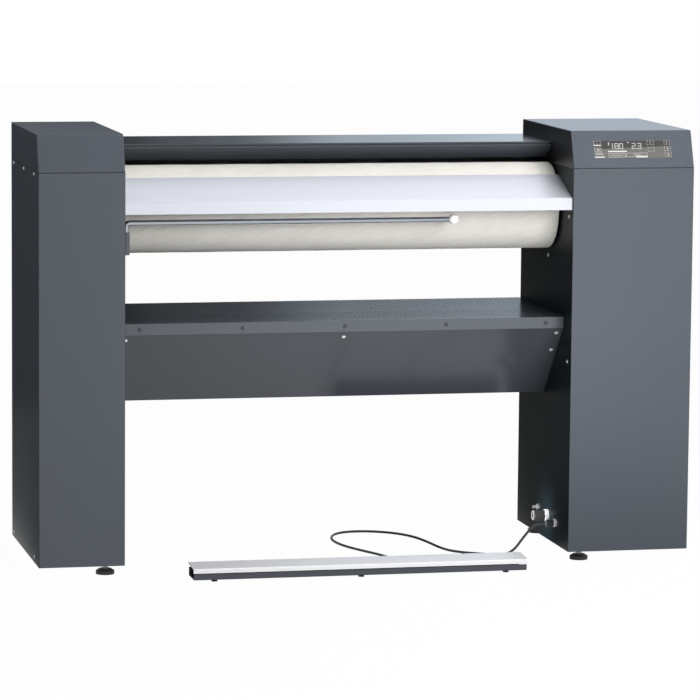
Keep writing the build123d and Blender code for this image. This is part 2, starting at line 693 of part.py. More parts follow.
def drive_pulley():
    """Motor pulley on the gear motor's output shaft."""
    x0 = RIGHT_WALL + PULLEY_INSET
    shaft_end = RIGHT_WALL + PLATE_INSET + FRAME_SHEET + DRIVE_SHAFT
    wheel = pulley(DRIVE_Z, DRIVE_PULLEY_R, 0, x0)
    return wheel + rod_x(ROLLER_Y, DRIVE_Z, DRIVE_SHAFT_R, x0, shaft_end)


def drive_belt():
    """Toothed belt round both pulleys, drawn as a plain band."""
    x0 = RIGHT_WALL + PULLEY_INSET + BELT_SIDE

    def loop(extra):
        high = Pos(ROLLER_Y, ROLLER_Z) * Circle(ROLLER_PULLEY_R + extra)
        low = Pos(ROLLER_Y, DRIVE_Z) * Circle(DRIVE_PULLEY_R + extra)
        return make_hull((high + low).edges())

    band = loop(AIR + BELT) - loop(AIR)
    return along_x(band, x0, x0 + BELT_WIDTH)


def drive_motor():
    """Gear motor on the right face of the motor plate."""
    x0 = RIGHT_WALL + PLATE_INSET + FRAME_SHEET
    x1 = x0 + MOTOR_BOX[0]
    gearbox = Pos((x0 + x1) / 2, ROLLER_Y, DRIVE_Z) * Box(*MOTOR_BOX)
    gearbox = chamfer(gearbox.edges().filter_by(Axis.X), MOTOR_EDGE)
    barrel = rod_x(ROLLER_Y, DRIVE_Z, MOTOR_R, x1, x1 + MOTOR_LENGTH)
    barrel = chamfer(barrel.edges().filter_by(GeomType.CIRCLE).sort_by(Axis.X)[-1], MOTOR_EDGE)
    bore = rod_x(ROLLER_Y, DRIVE_Z, DRIVE_SHAFT_R + RUNNING, x0 - SHEET, x0 + DRIVE_SHAFT + SHEET)
    return gearbox + barrel - bore


# ---------------------------------------------------------------------------------------------
# Heated trough, arms, lift lever and cam.  Everything is drawn in the ironing position and then
# swung open about the pivot, as the machine stands when it is idle.

SOLE_R = ROLLER_R + TROUGH_GAP
ELEMENT_PITCH_R = SOLE_R + SOLE + ELEMENT_R + ELEMENT_AIR
BLANKET_R = ELEMENT_PITCH_R + ELEMENT_R + ELEMENT_AIR
SHELL_R = BLANKET_R + BLANKET
TROUGH_LEFT = LEFT_WALL + TROUGH_END_AIR
TROUGH_RIGHT = RIGHT_WALL - TROUGH_END_AIR


def swung(shape, angle=-TROUGH_OPEN):
    """A piece of the trough turned about the trough's pivot, from closed to open."""
    return shape.rotate(Axis((0, PIVOT_Y, PIVOT_Z), (1, 0, 0)), angle)


def sector(inner, outer, low, high):
    """Part of a ring round the roller's axis."""
    middle = (low + high) / 2
    outside = ThreePointArc(polar(outer, low), polar(outer, middle), polar(outer, high))
    inside = ThreePointArc(polar(inner, low), polar(inner, middle), polar(inner, high))
    ends = [Line(outside @ 0, inside @ 0), Line(outside @ 1, inside @ 1)]
    return make_face([outside, inside] + ends)


def trough_sole():
    """Heated sole with a rounded entry lip and a drawn-out lower lip."""
    face = sector(SOLE_R, SOLE_R + SOLE, TROUGH_LOW_ANGLE, TROUGH_TOP_ANGLE)
    sole = along_x(face, TROUGH_LEFT, TROUGH_RIGHT)
    axis = Vector(sole.center().X, ROLLER_Y, ROLLER_Z)
    lips = sole.edges().filter_by(Axis.X).sort_by(lambda e: (e.center() - axis).length)[:2]
    return swung(fillet(lips, SOLE * 0.6))


def heating_elements():
    """Tubular elements clamped along the back of the sole."""
    x0 = TROUGH_LEFT + ELEMENT_INSET
    x1 = TROUGH_RIGHT - ELEMENT_INSET
    places = [polar(ELEMENT_PITCH_R, angle) for angle in ELEMENT_ANGLES]
    return Compound([swung(rod_x(y, z, ELEMENT_R, x0, x1)) for y, z in places])


def trough_blanket():
    """Insulation between the elements and the outer sheet."""
    face = sector(BLANKET_R, SHELL_R - BLANKET_AIR,
                  TROUGH_LOW_ANGLE + BLANKET_TURN, TROUGH_TOP_ANGLE - BLANKET_TURN)
    return swung(along_x(face, TROUGH_LEFT + BLANKET_INSET, TROUGH_RIGHT - BLANKET_INSET))


def trough_shell():
    """Outer sheet of the trough, folded down to the sole all round."""
    seat = SOLE_R + SOLE
    outside = sector(seat, SHELL_R + SHELL, TROUGH_LOW_ANGLE, TROUGH_TOP_ANGLE)
    turn = degrees(SHELL / seat)
    inside = sector(seat - SHELL, SHELL_R, TROUGH_LOW_ANGLE + turn, TROUGH_TOP_ANGLE - turn)
    hood_sheet = along_x(outside, TROUGH_LEFT, TROUGH_RIGHT)
    return swung(hood_sheet - along_x(inside, TROUGH_LEFT + SHELL, TROUGH_RIGHT - SHELL))


def arm_face():
    """Outline of a trough arm: a web from the shell's back to the pivot boss."""
    reach = SHELL_R + SHELL + ARM_EDGE_R
    high = Pos(*polar(reach, ARM_HIGH_ANGLE)) * Circle(ARM_EDGE_R)
    low = Pos(*polar(reach, ARM_LOW_ANGLE)) * Circle(ARM_EDGE_R)
    boss = Pos(PIVOT_Y, PIVOT_Z) * Circle(PIVOT_BOSS_R)
    web = make_hull((high + low + boss).edges())
    return web - Pos(ROLLER_Y, ROLLER_Z) * Circle(SHELL_R + SHELL)


def trough_arms():
    """Arms with welded pivot pins; the right pin reaches the lift lever."""
    pair = []
    pin_lengths = (PIVOT_PIN, LEVER_INSET + LEVER + PIVOT_R / 2)
    for wall, inward, pin_length in zip((LEFT_WALL, RIGHT_WALL), (1, -1), pin_lengths):
        x0 = wall + inward * ARM_INSET
        x1 = x0 + inward * ARM
        pin = rod_x(PIVOT_Y, PIVOT_Z, PIVOT_R, wall - inward * pin_length, x1 + inward * ARM / 2)
        pair.append(swung(along_x(arm_face(), x0, x1) + pin))
    return Compound(pair)


def trough_bushes():
    """Flanged bushes in both walls, in which the pivot pins turn."""
    pair = []
    for wall, outward in ((LEFT_WALL, -1), (RIGHT_WALL, 1)):
        x0 = wall - outward * SHEET
        x1 = wall + outward * BUSH_LENGTH
        flange = wall + outward * SHEET
        bush = rod_x(PIVOT_Y, PIVOT_Z, BUSH_R, x0, x1)
        bush += rod_x(PIVOT_Y, PIVOT_Z, BUSH_R + BUSH_FLANGE, flange, flange + outward * BUSH_FLANGE)
        bush -= rod_x(PIVOT_Y, PIVOT_Z, PIVOT_R + RUNNING, x0 - outward * SHEET, x1 + outward * SHEET)
        pair.append(bush)
    return Compound(pair)


def follower_place(opened):
    """Axis of the follower with the trough turned by an angle from its open place."""
    angle = radians(opened)
    y = -LEVER_REACH
    z = -LEVER_DROP
    return (PIVOT_Y + y * cos(angle) - z * sin(angle), PIVOT_Z + y * sin(angle) + z * cos(angle))


def cam_y():
    return PIVOT_Y - LEVER_REACH


def cam_z():
    return PIVOT_Z - LEVER_DROP - CAM_DROP


def lift_lever():
    """Lever on the right pivot pin, which carries the cam follower."""
    x0 = RIGHT_WALL + LEVER_INSET
    y, z = follower_place(0)
    rounds = Pos(PIVOT_Y, PIVOT_Z) * Circle(PIVOT_BOSS_R) + Pos(y, z) * Circle(LEVER_END_R)
    web = make_hull(rounds.edges()) - Pos(PIVOT_Y, PIVOT_Z) * Circle(PIVOT_R)
    web -= Pos(y, z) * Circle(FOLLOWER_PIN_R)
    return along_x(web, x0, x0 + LEVER)


def cam_follower():
    """Roller on the lever's end, with its pin."""
    y, z = follower_place(0)
    x0 = RIGHT_WALL + LEVER_INSET
    near = x0 + LEVER + AIR
    far = near + FOLLOWER_WIDTH
    return rod_x(y, z, FOLLOWER_R, near, far) + rod_x(y, z, FOLLOWER_PIN_R, x0, far + FOLLOWER_PIN_R / 2)


def lift_cam():
    """Snail cam.

    Seen from the cam, the follower's axis goes round it while the trough closes.  Its distance at
    each step, less the follower's radius and a film of air, is the cam's radius in that direction.
    """
    rim = []
    steps = 10                # between closed and open, and one more past each
    for i in range(-1, steps + 2):
        share = i / steps
        y, z = follower_place(TROUGH_OPEN * share)
        reach = hypot(y - cam_y(), z - cam_z()) - FOLLOWER_R - AIR
        direction = atan2(z - cam_z(), y - cam_y()) - radians(CAM_TURN * share)
        rim.append((cam_y() + reach * cos(direction), cam_z() + reach * sin(direction)))
    back = radians(90 + CAM_TURN)
    far_side = (cam_y() + CAM_HEEL_R * cos(back), cam_z() + CAM_HEEL_R * sin(back))
    nose = Spline(*rim)
    heel = ThreePointArc(rim[-1], far_side, rim[0])
    x0 = RIGHT_WALL + LEVER_INSET + LEVER + AIR
    x1 = RIGHT_WALL + PLATE_INSET - AIR
    disc = along_x(make_face([nose, heel]), x0, x0 + FOLLOWER_WIDTH)
    hub = rod_x(cam_y(), cam_z(), CAM_HUB_R, x0, x1)
    return disc + hub + rod_x(cam_y(), cam_z(), CAM_SHAFT_R, x1, x1 + CAM_SHAFT)


def lift_motor():
    """Gear motor that turns the cam."""
    x0 = RIGHT_WALL + PLATE_INSET + FRAME_SHEET
    x1 = x0 + LIFT_BOX[0]
    z = cam_z() - LIFT_BOX_DROP
    gearbox = Pos((x0 + x1) / 2, cam_y(), z) * Box(*LIFT_BOX)
    gearbox = chamfer(gearbox.edges().filter_by(Axis.X), MOTOR_EDGE)
    barrel = rod_x(cam_y(), z, LIFT_BARREL_R, x1, x1 + LIFT_BARREL)
    bore = rod_x(cam_y(), cam_z(), CAM_SHAFT_R + RUNNING, x0 - SHEET, x0 + CAM_SHAFT + SHEET)
    return gearbox + barrel - bore


# ---------------------------------------------------------------------------------------------
# Covers over the gap

def heater_cover():
    """Top cover between the hoods, with a front lip and folded ends."""
    points = [(COVER_FRONT_Y, COVER_Z - COVER_LIP), (COVER_FRONT_Y, COVER_Z), (BACK, COVER_Z)]
    cover = along_x(folded(points, -SHEET, COVER_BEND), GAP_LEFT, GAP_RIGHT)
    front = GUARD_PIN_Y + 2 * GUARD_PIN_R
    for x, inward in ((GAP_LEFT, 1), (GAP_RIGHT, -1)):
        cover += block(x, x + inward * SHEET, front, BACK - SHEET - SEAM,
                       COVER_Z - COVER_END_FOLD, COVER_Z)
    return cover


def rear_cover():
    """Upright cover behind the trough, with folded ends."""
    cover = block(GAP_LEFT, GAP_RIGHT, BACK - SHEET, BACK, REAR_COVER_Z, COVER_Z - SHEET - SEAM)
    for x, inward in ((GAP_LEFT, 1), (GAP_RIGHT, -1)):
        cover += block(x, x + inward * SHEET, BACK - COVER_END_FOLD, BACK,
                       REAR_COVER_Z, COVER_Z - COVER_END_FOLD - SEAM)
    return cover


def finger_guard():
    """Hinged strip along the feed opening, tucked under the cover; its end ears carry the pins."""
    points = [(GUARD_NOSE_Y + GUARD_FLANGE, GUARD_TOP_Z), (GUARD_NOSE_Y, GUARD_TOP_Z),
              (GUARD_NOSE_Y, COVER_Z - GUARD_NOSE_DROP),
              (ROLLER_Y + GUARD_FOOT, ROLLER_Z + ROLLER_R + GUARD_FOOT_CLEAR)]
    left = GAP_LEFT + SEAM
    right = GAP_RIGHT - SEAM
    lid = along_x(folded(points, SHEET, GUARD_NOSE_R), left, right)
    boss = Pos(GUARD_PIN_Y, GUARD_PIN_Z) * Circle(GUARD_PIN_R + SHEET)
    nose = Pos(GUARD_NOSE_Y + GUARD_NOSE_R + SHEET, COVER_Z - GUARD_NOSE_DROP) * Circle(GUARD_NOSE_R)
    cheek = make_hull((boss + nose).edges())
    for x, inward in ((left, 1), (right, -1)):
        near = x + inward * GUARD_EAR_INSET
        far = near + inward * GUARD_EAR
        lid += along_x(cheek, near, far)
        lid += rod_x(GUARD_PIN_Y, GUARD_PIN_Z, GUARD_PIN_R, x + inward * GUARD_PIN_AIR, far)
    return lid


def board_back():
    """The feed board's rear edge, just off the cloth."""
    return polar(ROLLER_R + BOARD_AIR, BOARD_BACK_ANGLE)


def feed_board():
    """Anodised feed table: a front lip and a top that slopes up to the roller."""
    points = [(BOARD_FRONT_Y, BOARD_LIP_Z), (BOARD_FRONT_Y, BOARD_FRONT_Z), board_back()]
    return along_x(folded(points, -BOARD, BOARD_FOLD), GAP_LEFT, GAP_RIGHT)


def feed_board_brackets():
    """Brackets that carry the feed board's ends from the walls."""
    back_y, back_z = board_back()
    slope = (back_z - BOARD_FRONT_Z) / (back_y - BOARD_FRONT_Y)
    sheet = (BOARD + RUNNING) * hypot(1, slope)

    def under_board(y):
        return BOARD_FRONT_Z + slope * (y - BOARD_FRONT_Y) - sheet

    near = BOARD_FRONT_Y + BRACKET_SETBACK
    far = near + BRACKET_LENGTH
    web = [(near, BOARD_LIP_Z + BRACKET_FOOT), (near, under_board(near)), (far, under_board(far)),
           (far, under_board(far) - BRACKET_END)]
    flange = [(near, under_board(near)), (far, under_board(far)),
              (far, under_board(far) - BRACKET), (near, under_board(near) - BRACKET)]
    pair = []
    for wall, inward in ((LEFT_WALL, 1), (RIGHT_WALL, -1)):
        bracket = along_x(make_face(Polyline(*web, close=True)), wall, wall + inward * BRACKET)
        bracket += along_x(make_face(Polyline(*flange, close=True)), wall, wall + inward * BRACKET_FLANGE)
        pair.append(bracket)
    return Compound(pair)


# ---------------------------------------------------------------------------------------------
# Shelf and beam

def shelf_plate():
    """Laundry shelf: a lip, a level strip, and a part that rises gently to the back."""
    lip_y = FRONT + SHELF_FRONT
    points = [(lip_y, SHELF_Z - SHELF_LIP), (lip_y, SHELF_Z), (lip_y + SHELF_LEVEL, SHELF_Z),
              (BACK - SEAM, SHELF_Z + SHELF_RISE)]
    plate = along_x(folded(points, -SHEET, SHELF_FOLD), GAP_LEFT, GAP_RIGHT)
    for place in lip_screw_places():
        plate -= screw_hole(place)
    return plate


def beam_front():
    """Slanted front of the beam, folded up behind the shelf's lip and back at its foot."""
    points = [(PANEL_TOP[0], SHELF_Z - SHEET - SEAM), PANEL_TOP, PANEL_FOOT,
              (PANEL_FOOT[0] + BEAM_FLANGE, PANEL_FOOT[1])]
    panel = along_x(folded(points, SHEET, SHELF_FOLD), GAP_LEFT, GAP_RIGHT)
    for place in panel_screw_places() + lip_screw_places():
        panel -= screw_hole(place)
    return panel


def beam_rear():
    """Floor and back of the beam."""
    y0 = PANEL_FOOT[0] + BEAM_FLANGE + SEAM
    points = [(y0, BEAM_FOOT_Z), (BACK - SEAM, BEAM_FOOT_Z),
              (BACK - SEAM, SHELF_Z + SHELF_RISE - SHEET - SEAM / 2)]
    return along_x(folded(points, SHEET, SHELF_FOLD), GAP_LEFT, GAP_RIGHT)


def cross_tubes():
    """Square tubes that tie the two columns together inside the beam."""
    pair = []
    for z in (BEAM_FOOT_Z + SHEET + TUBE / 2, SHELF_Z - SHEET - TUBE / 2):
        y = BACK - TUBE_INSET
        outer = block(LEFT_WALL, RIGHT_WALL, y - TUBE / 2, y + TUBE / 2, z - TUBE / 2, z + TUBE / 2)
        hole = TUBE / 2 - TUBE_WALL
        outer -= block(LEFT_WALL, RIGHT_WALL, y - hole, y + hole, z - hole, z + hole)
        pair.append(outer)
    return Compound(pair)


# ---------------------------------------------------------------------------------------------
# Laundry rod

ROD_X = LEFT_WALL + ROD_PIVOT_INSET
ROD_Y = FRONT + ROD_SETBACK


def laundry_rod():
    """Chromed rod, bent up from its holder and out along the roller."""
    route = FilletPolyline((ROD_X, ROD_Y, HOLDER_LOW_Z + HOLDER_FLOOR), (ROD_X, ROD_Y, ROD_Z),
                           (ROD_X + ROD_REACH, ROD_Y, ROD_Z), radius=ROD_BEND)
    return sweep(Plane(origin=route @ 0, z_dir=route % 0) * Circle(ROD_R), path=route)


def rod_knob():
    """Ball knob, bored to its middle for the rod."""
    ball = Pos(ROD_X + ROD_REACH, ROD_Y, ROD_Z) * Sphere(KNOB_R)
    return ball - rod_x(ROD_Y, ROD_Z, ROD_R, ROD_X + ROD_REACH - 2 * KNOB_R, ROD_X + ROD_REACH)


def rod_holder():
    """Dark socket on the left wall that carries the rod's upright leg."""
    thickness, width = HOLDER_PLATE
    barrel = rod_z(ROD_X, ROD_Y, HOLDER_R, HOLDER_LOW_Z, HOLDER_TOP_Z)
    web = block(LEFT_WALL, ROD_X, ROD_Y - HOLDER_WEB / 2, ROD_Y + HOLDER_WEB / 2,
                HOLDER_LOW_Z, HOLDER_TOP_Z)
    plate = block(LEFT_WALL, LEFT_WALL + thickness, ROD_Y - width / 2, ROD_Y + width / 2,
                  HOLDER_LOW_Z, HOLDER_TOP_Z)
    floor = HOLDER_LOW_Z + HOLDER_FLOOR - AIR
    return barrel + web + plate - rod_z(ROD_X, ROD_Y, ROD_R + RUNNING, floor, HOLDER_TOP_Z + SHEET)


# ---------------------------------------------------------------------------------------------
# Feet

def foot(x, y):
    """Levelling foot: a coned pad on a threaded stud with a hexagon."""
    pad = rod_z(x, y, FOOT_PAD_R, 0, FOOT_PAD)
    pad = chamfer(pad.edges().filter_by(GeomType.CIRCLE).sort_by(Axis.Z)[-1], *FOOT_CONE)
    stud = rod_z(x, y, FOOT_STUD_R, FOOT_PAD, FOOT_STUD_TOP)
    return pad + stud


FOOT_PLACES = {
    "front_left": (LEFT_WALL - FOOT_INSET, FRONT + FOOT_FRONT),
    "front_right": (RIGHT_WALL + FOOT_INSET, FRONT + FOOT_FRONT),
    "back_left": (LEFT_WALL - FOOT_INSET, BACK - FOOT_REAR),
    "back_right": (RIGHT_WALL + FOOT_INSET, BACK - FOOT_REAR),
}


def foot_nuts():
    """Lock nuts of the feet, up against the frames."""
    low = BASE_Z + SHEET - FOOT_NUT
    nut = hexagon_bar(FOOT_NUT_AF, FOOT_NUT) - rod_z(0, 0, FOOT_STUD_R + RUNNING, -FOOT_NUT, 2 * FOOT_NUT)
    return Compound([Pos(x, y, low) * nut for x, y in FOOT_PLACES.values()])


# ---------------------------------------------------------------------------------------------
# Pedal

PEDAL_FRONT = FRONT - PEDAL_REACH
PEDAL_BACK = PEDAL_FRONT + PEDAL_DEPTH
PEDAL_LEFT = PEDAL_X - PEDAL_LENGTH / 2
PEDAL_RIGHT = PEDAL_X + PEDAL_LENGTH / 2
PEDAL_PIN_Y = PEDAL_BACK - PEDAL_PIN_INSET
PEDAL_BASE_FRONT = PEDAL_FRONT + PEDAL_PLATE + PEDAL_LIP_AIR


def pedal_base():
    """Folded channel, open at both ends, with four ears for the hinge pin."""
    points = [(PEDAL_BASE_FRONT, PEDAL_BASE_FRONT_Z), (PEDAL_BASE_FRONT, PEDAL_FOOT),
              (PEDAL_BACK, PEDAL_FOOT), (PEDAL_BACK, PEDAL_BASE_BACK_Z)]
    channel = along_x(folded(points, PEDAL_SHEET, PEDAL_FOLD),
                      PEDAL_LEFT + PEDAL_BASE_INSET, PEDAL_RIGHT - PEDAL_BASE_INSET)
    for x in pedal_ear_places():
        ear = block(x, x + PEDAL_EAR, PEDAL_PIN_Y - PEDAL_EAR_R, PEDAL_PIN_Y + PEDAL_EAR_R,
                    PEDAL_FOOT + PEDAL_SHEET, PEDAL_PIN_Z)
        channel += ear + rod_x(PEDAL_PIN_Y, PEDAL_PIN_Z, PEDAL_EAR_R, x, x + PEDAL_EAR)
    channel -= rod_x(PEDAL_PIN_Y, PEDAL_PIN_Z, PEDAL_PIN_R, PEDAL_LEFT, PEDAL_RIGHT)
    return channel


def pedal_ear_places():
    left = [PEDAL_LEFT + inset for inset in PEDAL_EAR_INSETS]
    right = [PEDAL_RIGHT - inset - PEDAL_EAR for inset in PEDAL_EAR_INSETS]
    return sorted(left + right)


def pedal_plate():
    """Foot plate with a front lip; its own ears hang on the hinge pin beside the base's."""
    points = [(PEDAL_FRONT, PEDAL_LIP_Z), (PEDAL_FRONT, PEDAL_FRONT_Z), (PEDAL_BACK, PEDAL_BACK_Z)]
    plate = along_x(folded(points, -PEDAL_PLATE, PEDAL_FOLD), PEDAL_LEFT, PEDAL_RIGHT)
    for x in pedal_ear_places():
        side = 1 if x < PEDAL_X else -1
        near = x + side * (PEDAL_EAR + AIR)
        ear = rod_x(PEDAL_PIN_Y, PEDAL_PIN_Z, PEDAL_EAR_R, near, near + PEDAL_EAR)
        ear += block(near, near + PEDAL_EAR, PEDAL_PIN_Y - PEDAL_EAR_R, PEDAL_PIN_Y + PEDAL_EAR_R,
                     PEDAL_PIN_Z, PEDAL_BACK_Z - PEDAL_PLATE)
        plate += ear
    plate -= rod_x(PEDAL_PIN_Y, PEDAL_PIN_Z, PEDAL_PIN_R + RUNNING, PEDAL_LEFT, PEDAL_RIGHT)
    return plate


def pedal_pin():
    """Hinge pin through all the ears."""
    ears = pedal_ear_places()
    return rod_x(PEDAL_PIN_Y, PEDAL_PIN_Z, PEDAL_PIN_R,
                 ears[0] - PEDAL_PIN_END, ears[-1] + PEDAL_EAR + PEDAL_PIN_END)


def pedal_feet():
    """Rubber feet in two rows of three."""
    end = PEDAL_LENGTH / 2 - PEDAL_FOOT_END
    rows = (PEDAL_BASE_FRONT + PEDAL_FOOT_INSET, PEDAL_BACK - PEDAL_FOOT_INSET)
    return Compound([rod_z(PEDAL_X + x, y, PEDAL_FOOT_R, 0, PEDAL_FOOT)
                     for x in (-end, 0, end) for y in rows])


def pedal_switch():
    """Switch on the base's floor, with a round button under the foot plate."""
    length, depth, height = SWITCH
    y = PEDAL_FRONT + SWITCH_SETBACK + depth / 2
    floor = PEDAL_FOOT + PEDAL_SHEET
    case = Pos(PEDAL_X, y, floor + height / 2) * Box(length, depth, height)
    top = floor + height
    return case + rod_z(PEDAL_X + SWITCH_BUTTON_SHIFT, y, SWITCH_BUTTON_R, top, top + SWITCH_BUTTON)


def pedal_springs():
    """Leaf springs that push the foot plate up."""
    floor = PEDAL_FOOT + PEDAL_SHEET
    bend = PEDAL_BACK - SPRING_INSET
    slope = (PEDAL_BACK_Z - PEDAL_FRONT_Z) / PEDAL_DEPTH
    under = PEDAL_FRONT_Z + slope * SPRING_REACH - PEDAL_PLATE - 2 * AIR
    tip = PEDAL_FRONT + SPRING_REACH
    leaf = folded([(bend + SPRING_FOOT, floor), (bend, floor), (tip, under)], -SPRING, SPRING_BEND)
    places = (PEDAL_X - SPRING_SPACING, PEDAL_X + SPRING_SPACING)
    return Compound([along_x(leaf, x - SPRING_WIDTH / 2, x + SPRING_WIDTH / 2) for x in places])


# ---------------------------------------------------------------------------------------------
# Cable entries and the pedal's cable

def mains_gland():
    """Cable gland for the mains lead: a fluted cap over a bored body that passes the wall."""
    y = FRONT + MAINS_SETBACK
    x0 = RIGHT_WALL - MAINS_RING
    cap = rod_x(y, MAINS_Z, MAINS_BODY_R, x0 - MAINS_BODY, x0)
    rim = cap.edges().filter_by(GeomType.CIRCLE).sort_by(Axis.X)[0]
    cap = chamfer(rim, MAINS_EDGE)
    body = cap + rod_x(y, MAINS_Z, MAINS_THREAD_R, x0, RIGHT_WALL + GLAND_THREAD)
    return body - rod_x(y, MAINS_Z, MAINS_BORE_R, x0 - 2 * MAINS_BODY, RIGHT_WALL + 2 * GLAND_THREAD)


def gland_ring(y, z, radius, thread, length):
    ring = rod_x(y, z, radius, RIGHT_WALL - length, RIGHT_WALL)
    ring = chamfer(ring.edges().filter_by(GeomType.CIRCLE).sort_by(Axis.X)[0], RING_EDGE)
    return ring - rod_x(y, z, thread, RIGHT_WALL - 2 * length, RIGHT_WALL + length)


def gland_rings():
    """Bright clamping rings of both glands."""
    mains = gland_ring(FRONT + MAINS_SETBACK, MAINS_Z, MAINS_RING_R, MAINS_THREAD_R, MAINS_RING)
    pedal = gland_ring(FRONT + PEDAL_GLAND_SETBACK, PEDAL_GLAND_Z, PEDAL_GLAND_RING_R,
                       PEDAL_GLAND_THREAD_R, PEDAL_GLAND_RING)
    return Compound([mains, pedal])


def pedal_gland():
    """Small cable gland of the pedal's cable."""
    y = FRONT + PEDAL_GLAND_SETBACK
    x0 = RIGHT_WALL - PEDAL_GLAND_RING
    cap = rod_x(y, PEDAL_GLAND_Z, PEDAL_GLAND_BODY_R, x0 - PEDAL_GLAND_BODY, x0)
    rim = cap.edges().filter_by(GeomType.CIRCLE).sort_by(Axis.X)[0]
    cap = chamfer(rim, PEDAL_GLAND_EDGE)
    return cap + rod_x(y, PEDAL_GLAND_Z, PEDAL_GLAND_THREAD_R, x0, RIGHT_WALL + GLAND_THREAD)


def bonding_stud():
    """Threaded stud and nut for the site's bonding lead."""
    y = FRONT + BOND_SETBACK
    stud = rod_x(y, BOND_Z, BOND_R, RIGHT_WALL - BOND_REACH, RIGHT_WALL + BOND_TAIL)
    nut = Rot(0, -90, 0) * hexagon_bar(BOND_NUT_AF, BOND_NUT)
    return stud + Pos(RIGHT_WALL, y, BOND_Z) * nut


CORD_ROUTE = [
    (RIGHT_WALL - PEDAL_GLAND_RING - PEDAL_GLAND_BODY, FRONT + PEDAL_GLAND_SETBACK, PEDAL_GLAND_Z),
    (440, -70, 76.5), (424, -70, 69.5), (405, -69.5, 47.5), (373.5, -68, 4.9), (333, -63, 3.1),
    (297, -42, 3.1), (265, -19, 3.1), (239, 13, 3.1), (227, 61, 3.1), (217, 141, 3.1),
    (202, 213, 3.1), (172, 266, 3.1), (128, 301, 3.1), (75, 314, 3.1), (28, 297, 3.1),
    (1, 246, 3.1), (-7, 183, 3.1), (5, 115, 3.1), (32, 49, 3.1), (61, -10, 3.1),
    (83, -74, 3.1), (93, -134, 3.4), (96, -178, 10.5), (96, PEDAL_BACK, 10.5)]


def cord_radii(route):
    """Each bend is as wide as its two runs allow."""
    radii = []
    for a, b, c in zip(route, route[1:], route[2:]):
        into = Vector(*b) - Vector(*a)
        out = Vector(*c) - Vector(*b)
        turn = radians(into.get_angle(out))
        radii.append(0.45 * min(into.length, out.length) / tan(turn / 2))
    return radii


def pedal_cord():
    """The pedal's cable: straight runs joined by tangent arcs."""
    radii = cord_radii(CORD_ROUTE)
    print("cord radii", [round(r) for r in radii])
    path = FilletPolyline(*CORD_ROUTE, radius=radii)
    cord = sweep(Plane(origin=path @ 0, z_dir=path % 0) * Circle(CORD_R), path=path)
    print("cord volume against section times length", cord.volume / (pi * CORD_R ** 2 * path.length))
    return cord


def cover_screws():
    """All bright pan-head screws of the covers, walls and beam."""
    places = side_screw_places(LEFT) + side_screw_places(RIGHT)
    places += wall_screw_places(LEFT_WALL) + wall_screw_places(RIGHT_WALL) + panel_screw_places()
    return Compound([screw(place) for place in places])


def lip_screws():
    """Dark screws in the shelf's lip."""
    return Compound([screw(place) for place in lip_screw_places()])


def right_hood():
    """The right hood has the display's opening."""
    return hood(RIGHT, RIGHT_WALL) - display_pane(DISPLAY_FIT, 4 * SHEET)


NODES = {
    "left_frame": lambda: frame(LEFT, LEFT_WALL),
    "left_casing": lambda: casing(LEFT, LEFT_WALL),
    "left_inner_panel": lambda: inner_panel(LEFT, LEFT_WALL),
    "left_rear_panel": lambda: rear_panel(LEFT, LEFT_WALL),
    "left_hood": lambda: hood(LEFT, LEFT_WALL),
    "right_frame": right_frame,
    "right_casing": lambda: casing(RIGHT, RIGHT_WALL),
    "right_inner_panel": lambda: inner_panel(RIGHT, RIGHT_WALL),
    "right_rear_panel": lambda: rear_panel(RIGHT, RIGHT_WALL),
    "right_hood": right_hood,
    "display_window": lambda: display_pane(0, DISPLAY_GLASS),
    "control_board": control_board,
    "roller_drum": roller_drum,
    "roller_padding": roller_padding,
    "roller_cloth": roller_cloth,
    "roller_bearings": roller_bearings,
    "roller_pulley": lambda: pulley(ROLLER_Z, ROLLER_PULLEY_R, SHAFT_R, RIGHT_WALL + PULLEY_INSET),
    "drive_pulley": drive_pulley,
    "drive_belt": drive_belt,
    "drive_motor": drive_motor,
    "trough_sole": trough_sole,
    "heating_elements": heating_elements,
    "trough_blanket": trough_blanket,
    "trough_shell": trough_shell,
    "trough_arms": trough_arms,
    "trough_bushes": trough_bushes,
    "lift_lever": lift_lever,
    "cam_follower": cam_follower,
    "lift_cam": lift_cam,
    "lift_motor": lift_motor,
    "heater_cover": heater_cover,
    "rear_cover": rear_cover,
    "finger_guard": finger_guard,
    "feed_board": feed_board,
    "feed_board_brackets": feed_board_brackets,
    "shelf_plate": shelf_plate,
    "beam_front": beam_front,
    "beam_rear": beam_rear,
    "cross_tubes": cross_tubes,
    "laundry_rod": laundry_rod,
    "rod_knob": rod_knob,
    "rod_holder": rod_holder,
    "foot_nuts": foot_nuts,
    "pedal_base": pedal_base,
    "pedal_plate": pedal_plate,
    "pedal_pin": pedal_pin,
    "pedal_feet": pedal_feet,
    "pedal_switch": pedal_switch,
    "pedal_springs": pedal_springs,
    "mains_gland": mains_gland,
    "gland_rings": gland_rings,
    "pedal_gland": pedal_gland,
    "bonding_stud": bonding_stud,
    "pedal_cord": pedal_cord,
    "cover_screws": cover_screws,
    "lip_screws": lip_screws,
}

os.makedirs("parts", exist_ok=True)
for name, make in NODES.items():
    export_step(make(), f"parts/{name}.step")
for corner, (x, y) in FOOT_PLACES.items():
    export_step(foot(x, y), f"parts/foot_{corner}.step")
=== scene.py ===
import json
import math

import bpy
import numpy as np
from mathutils import Matrix, Vector


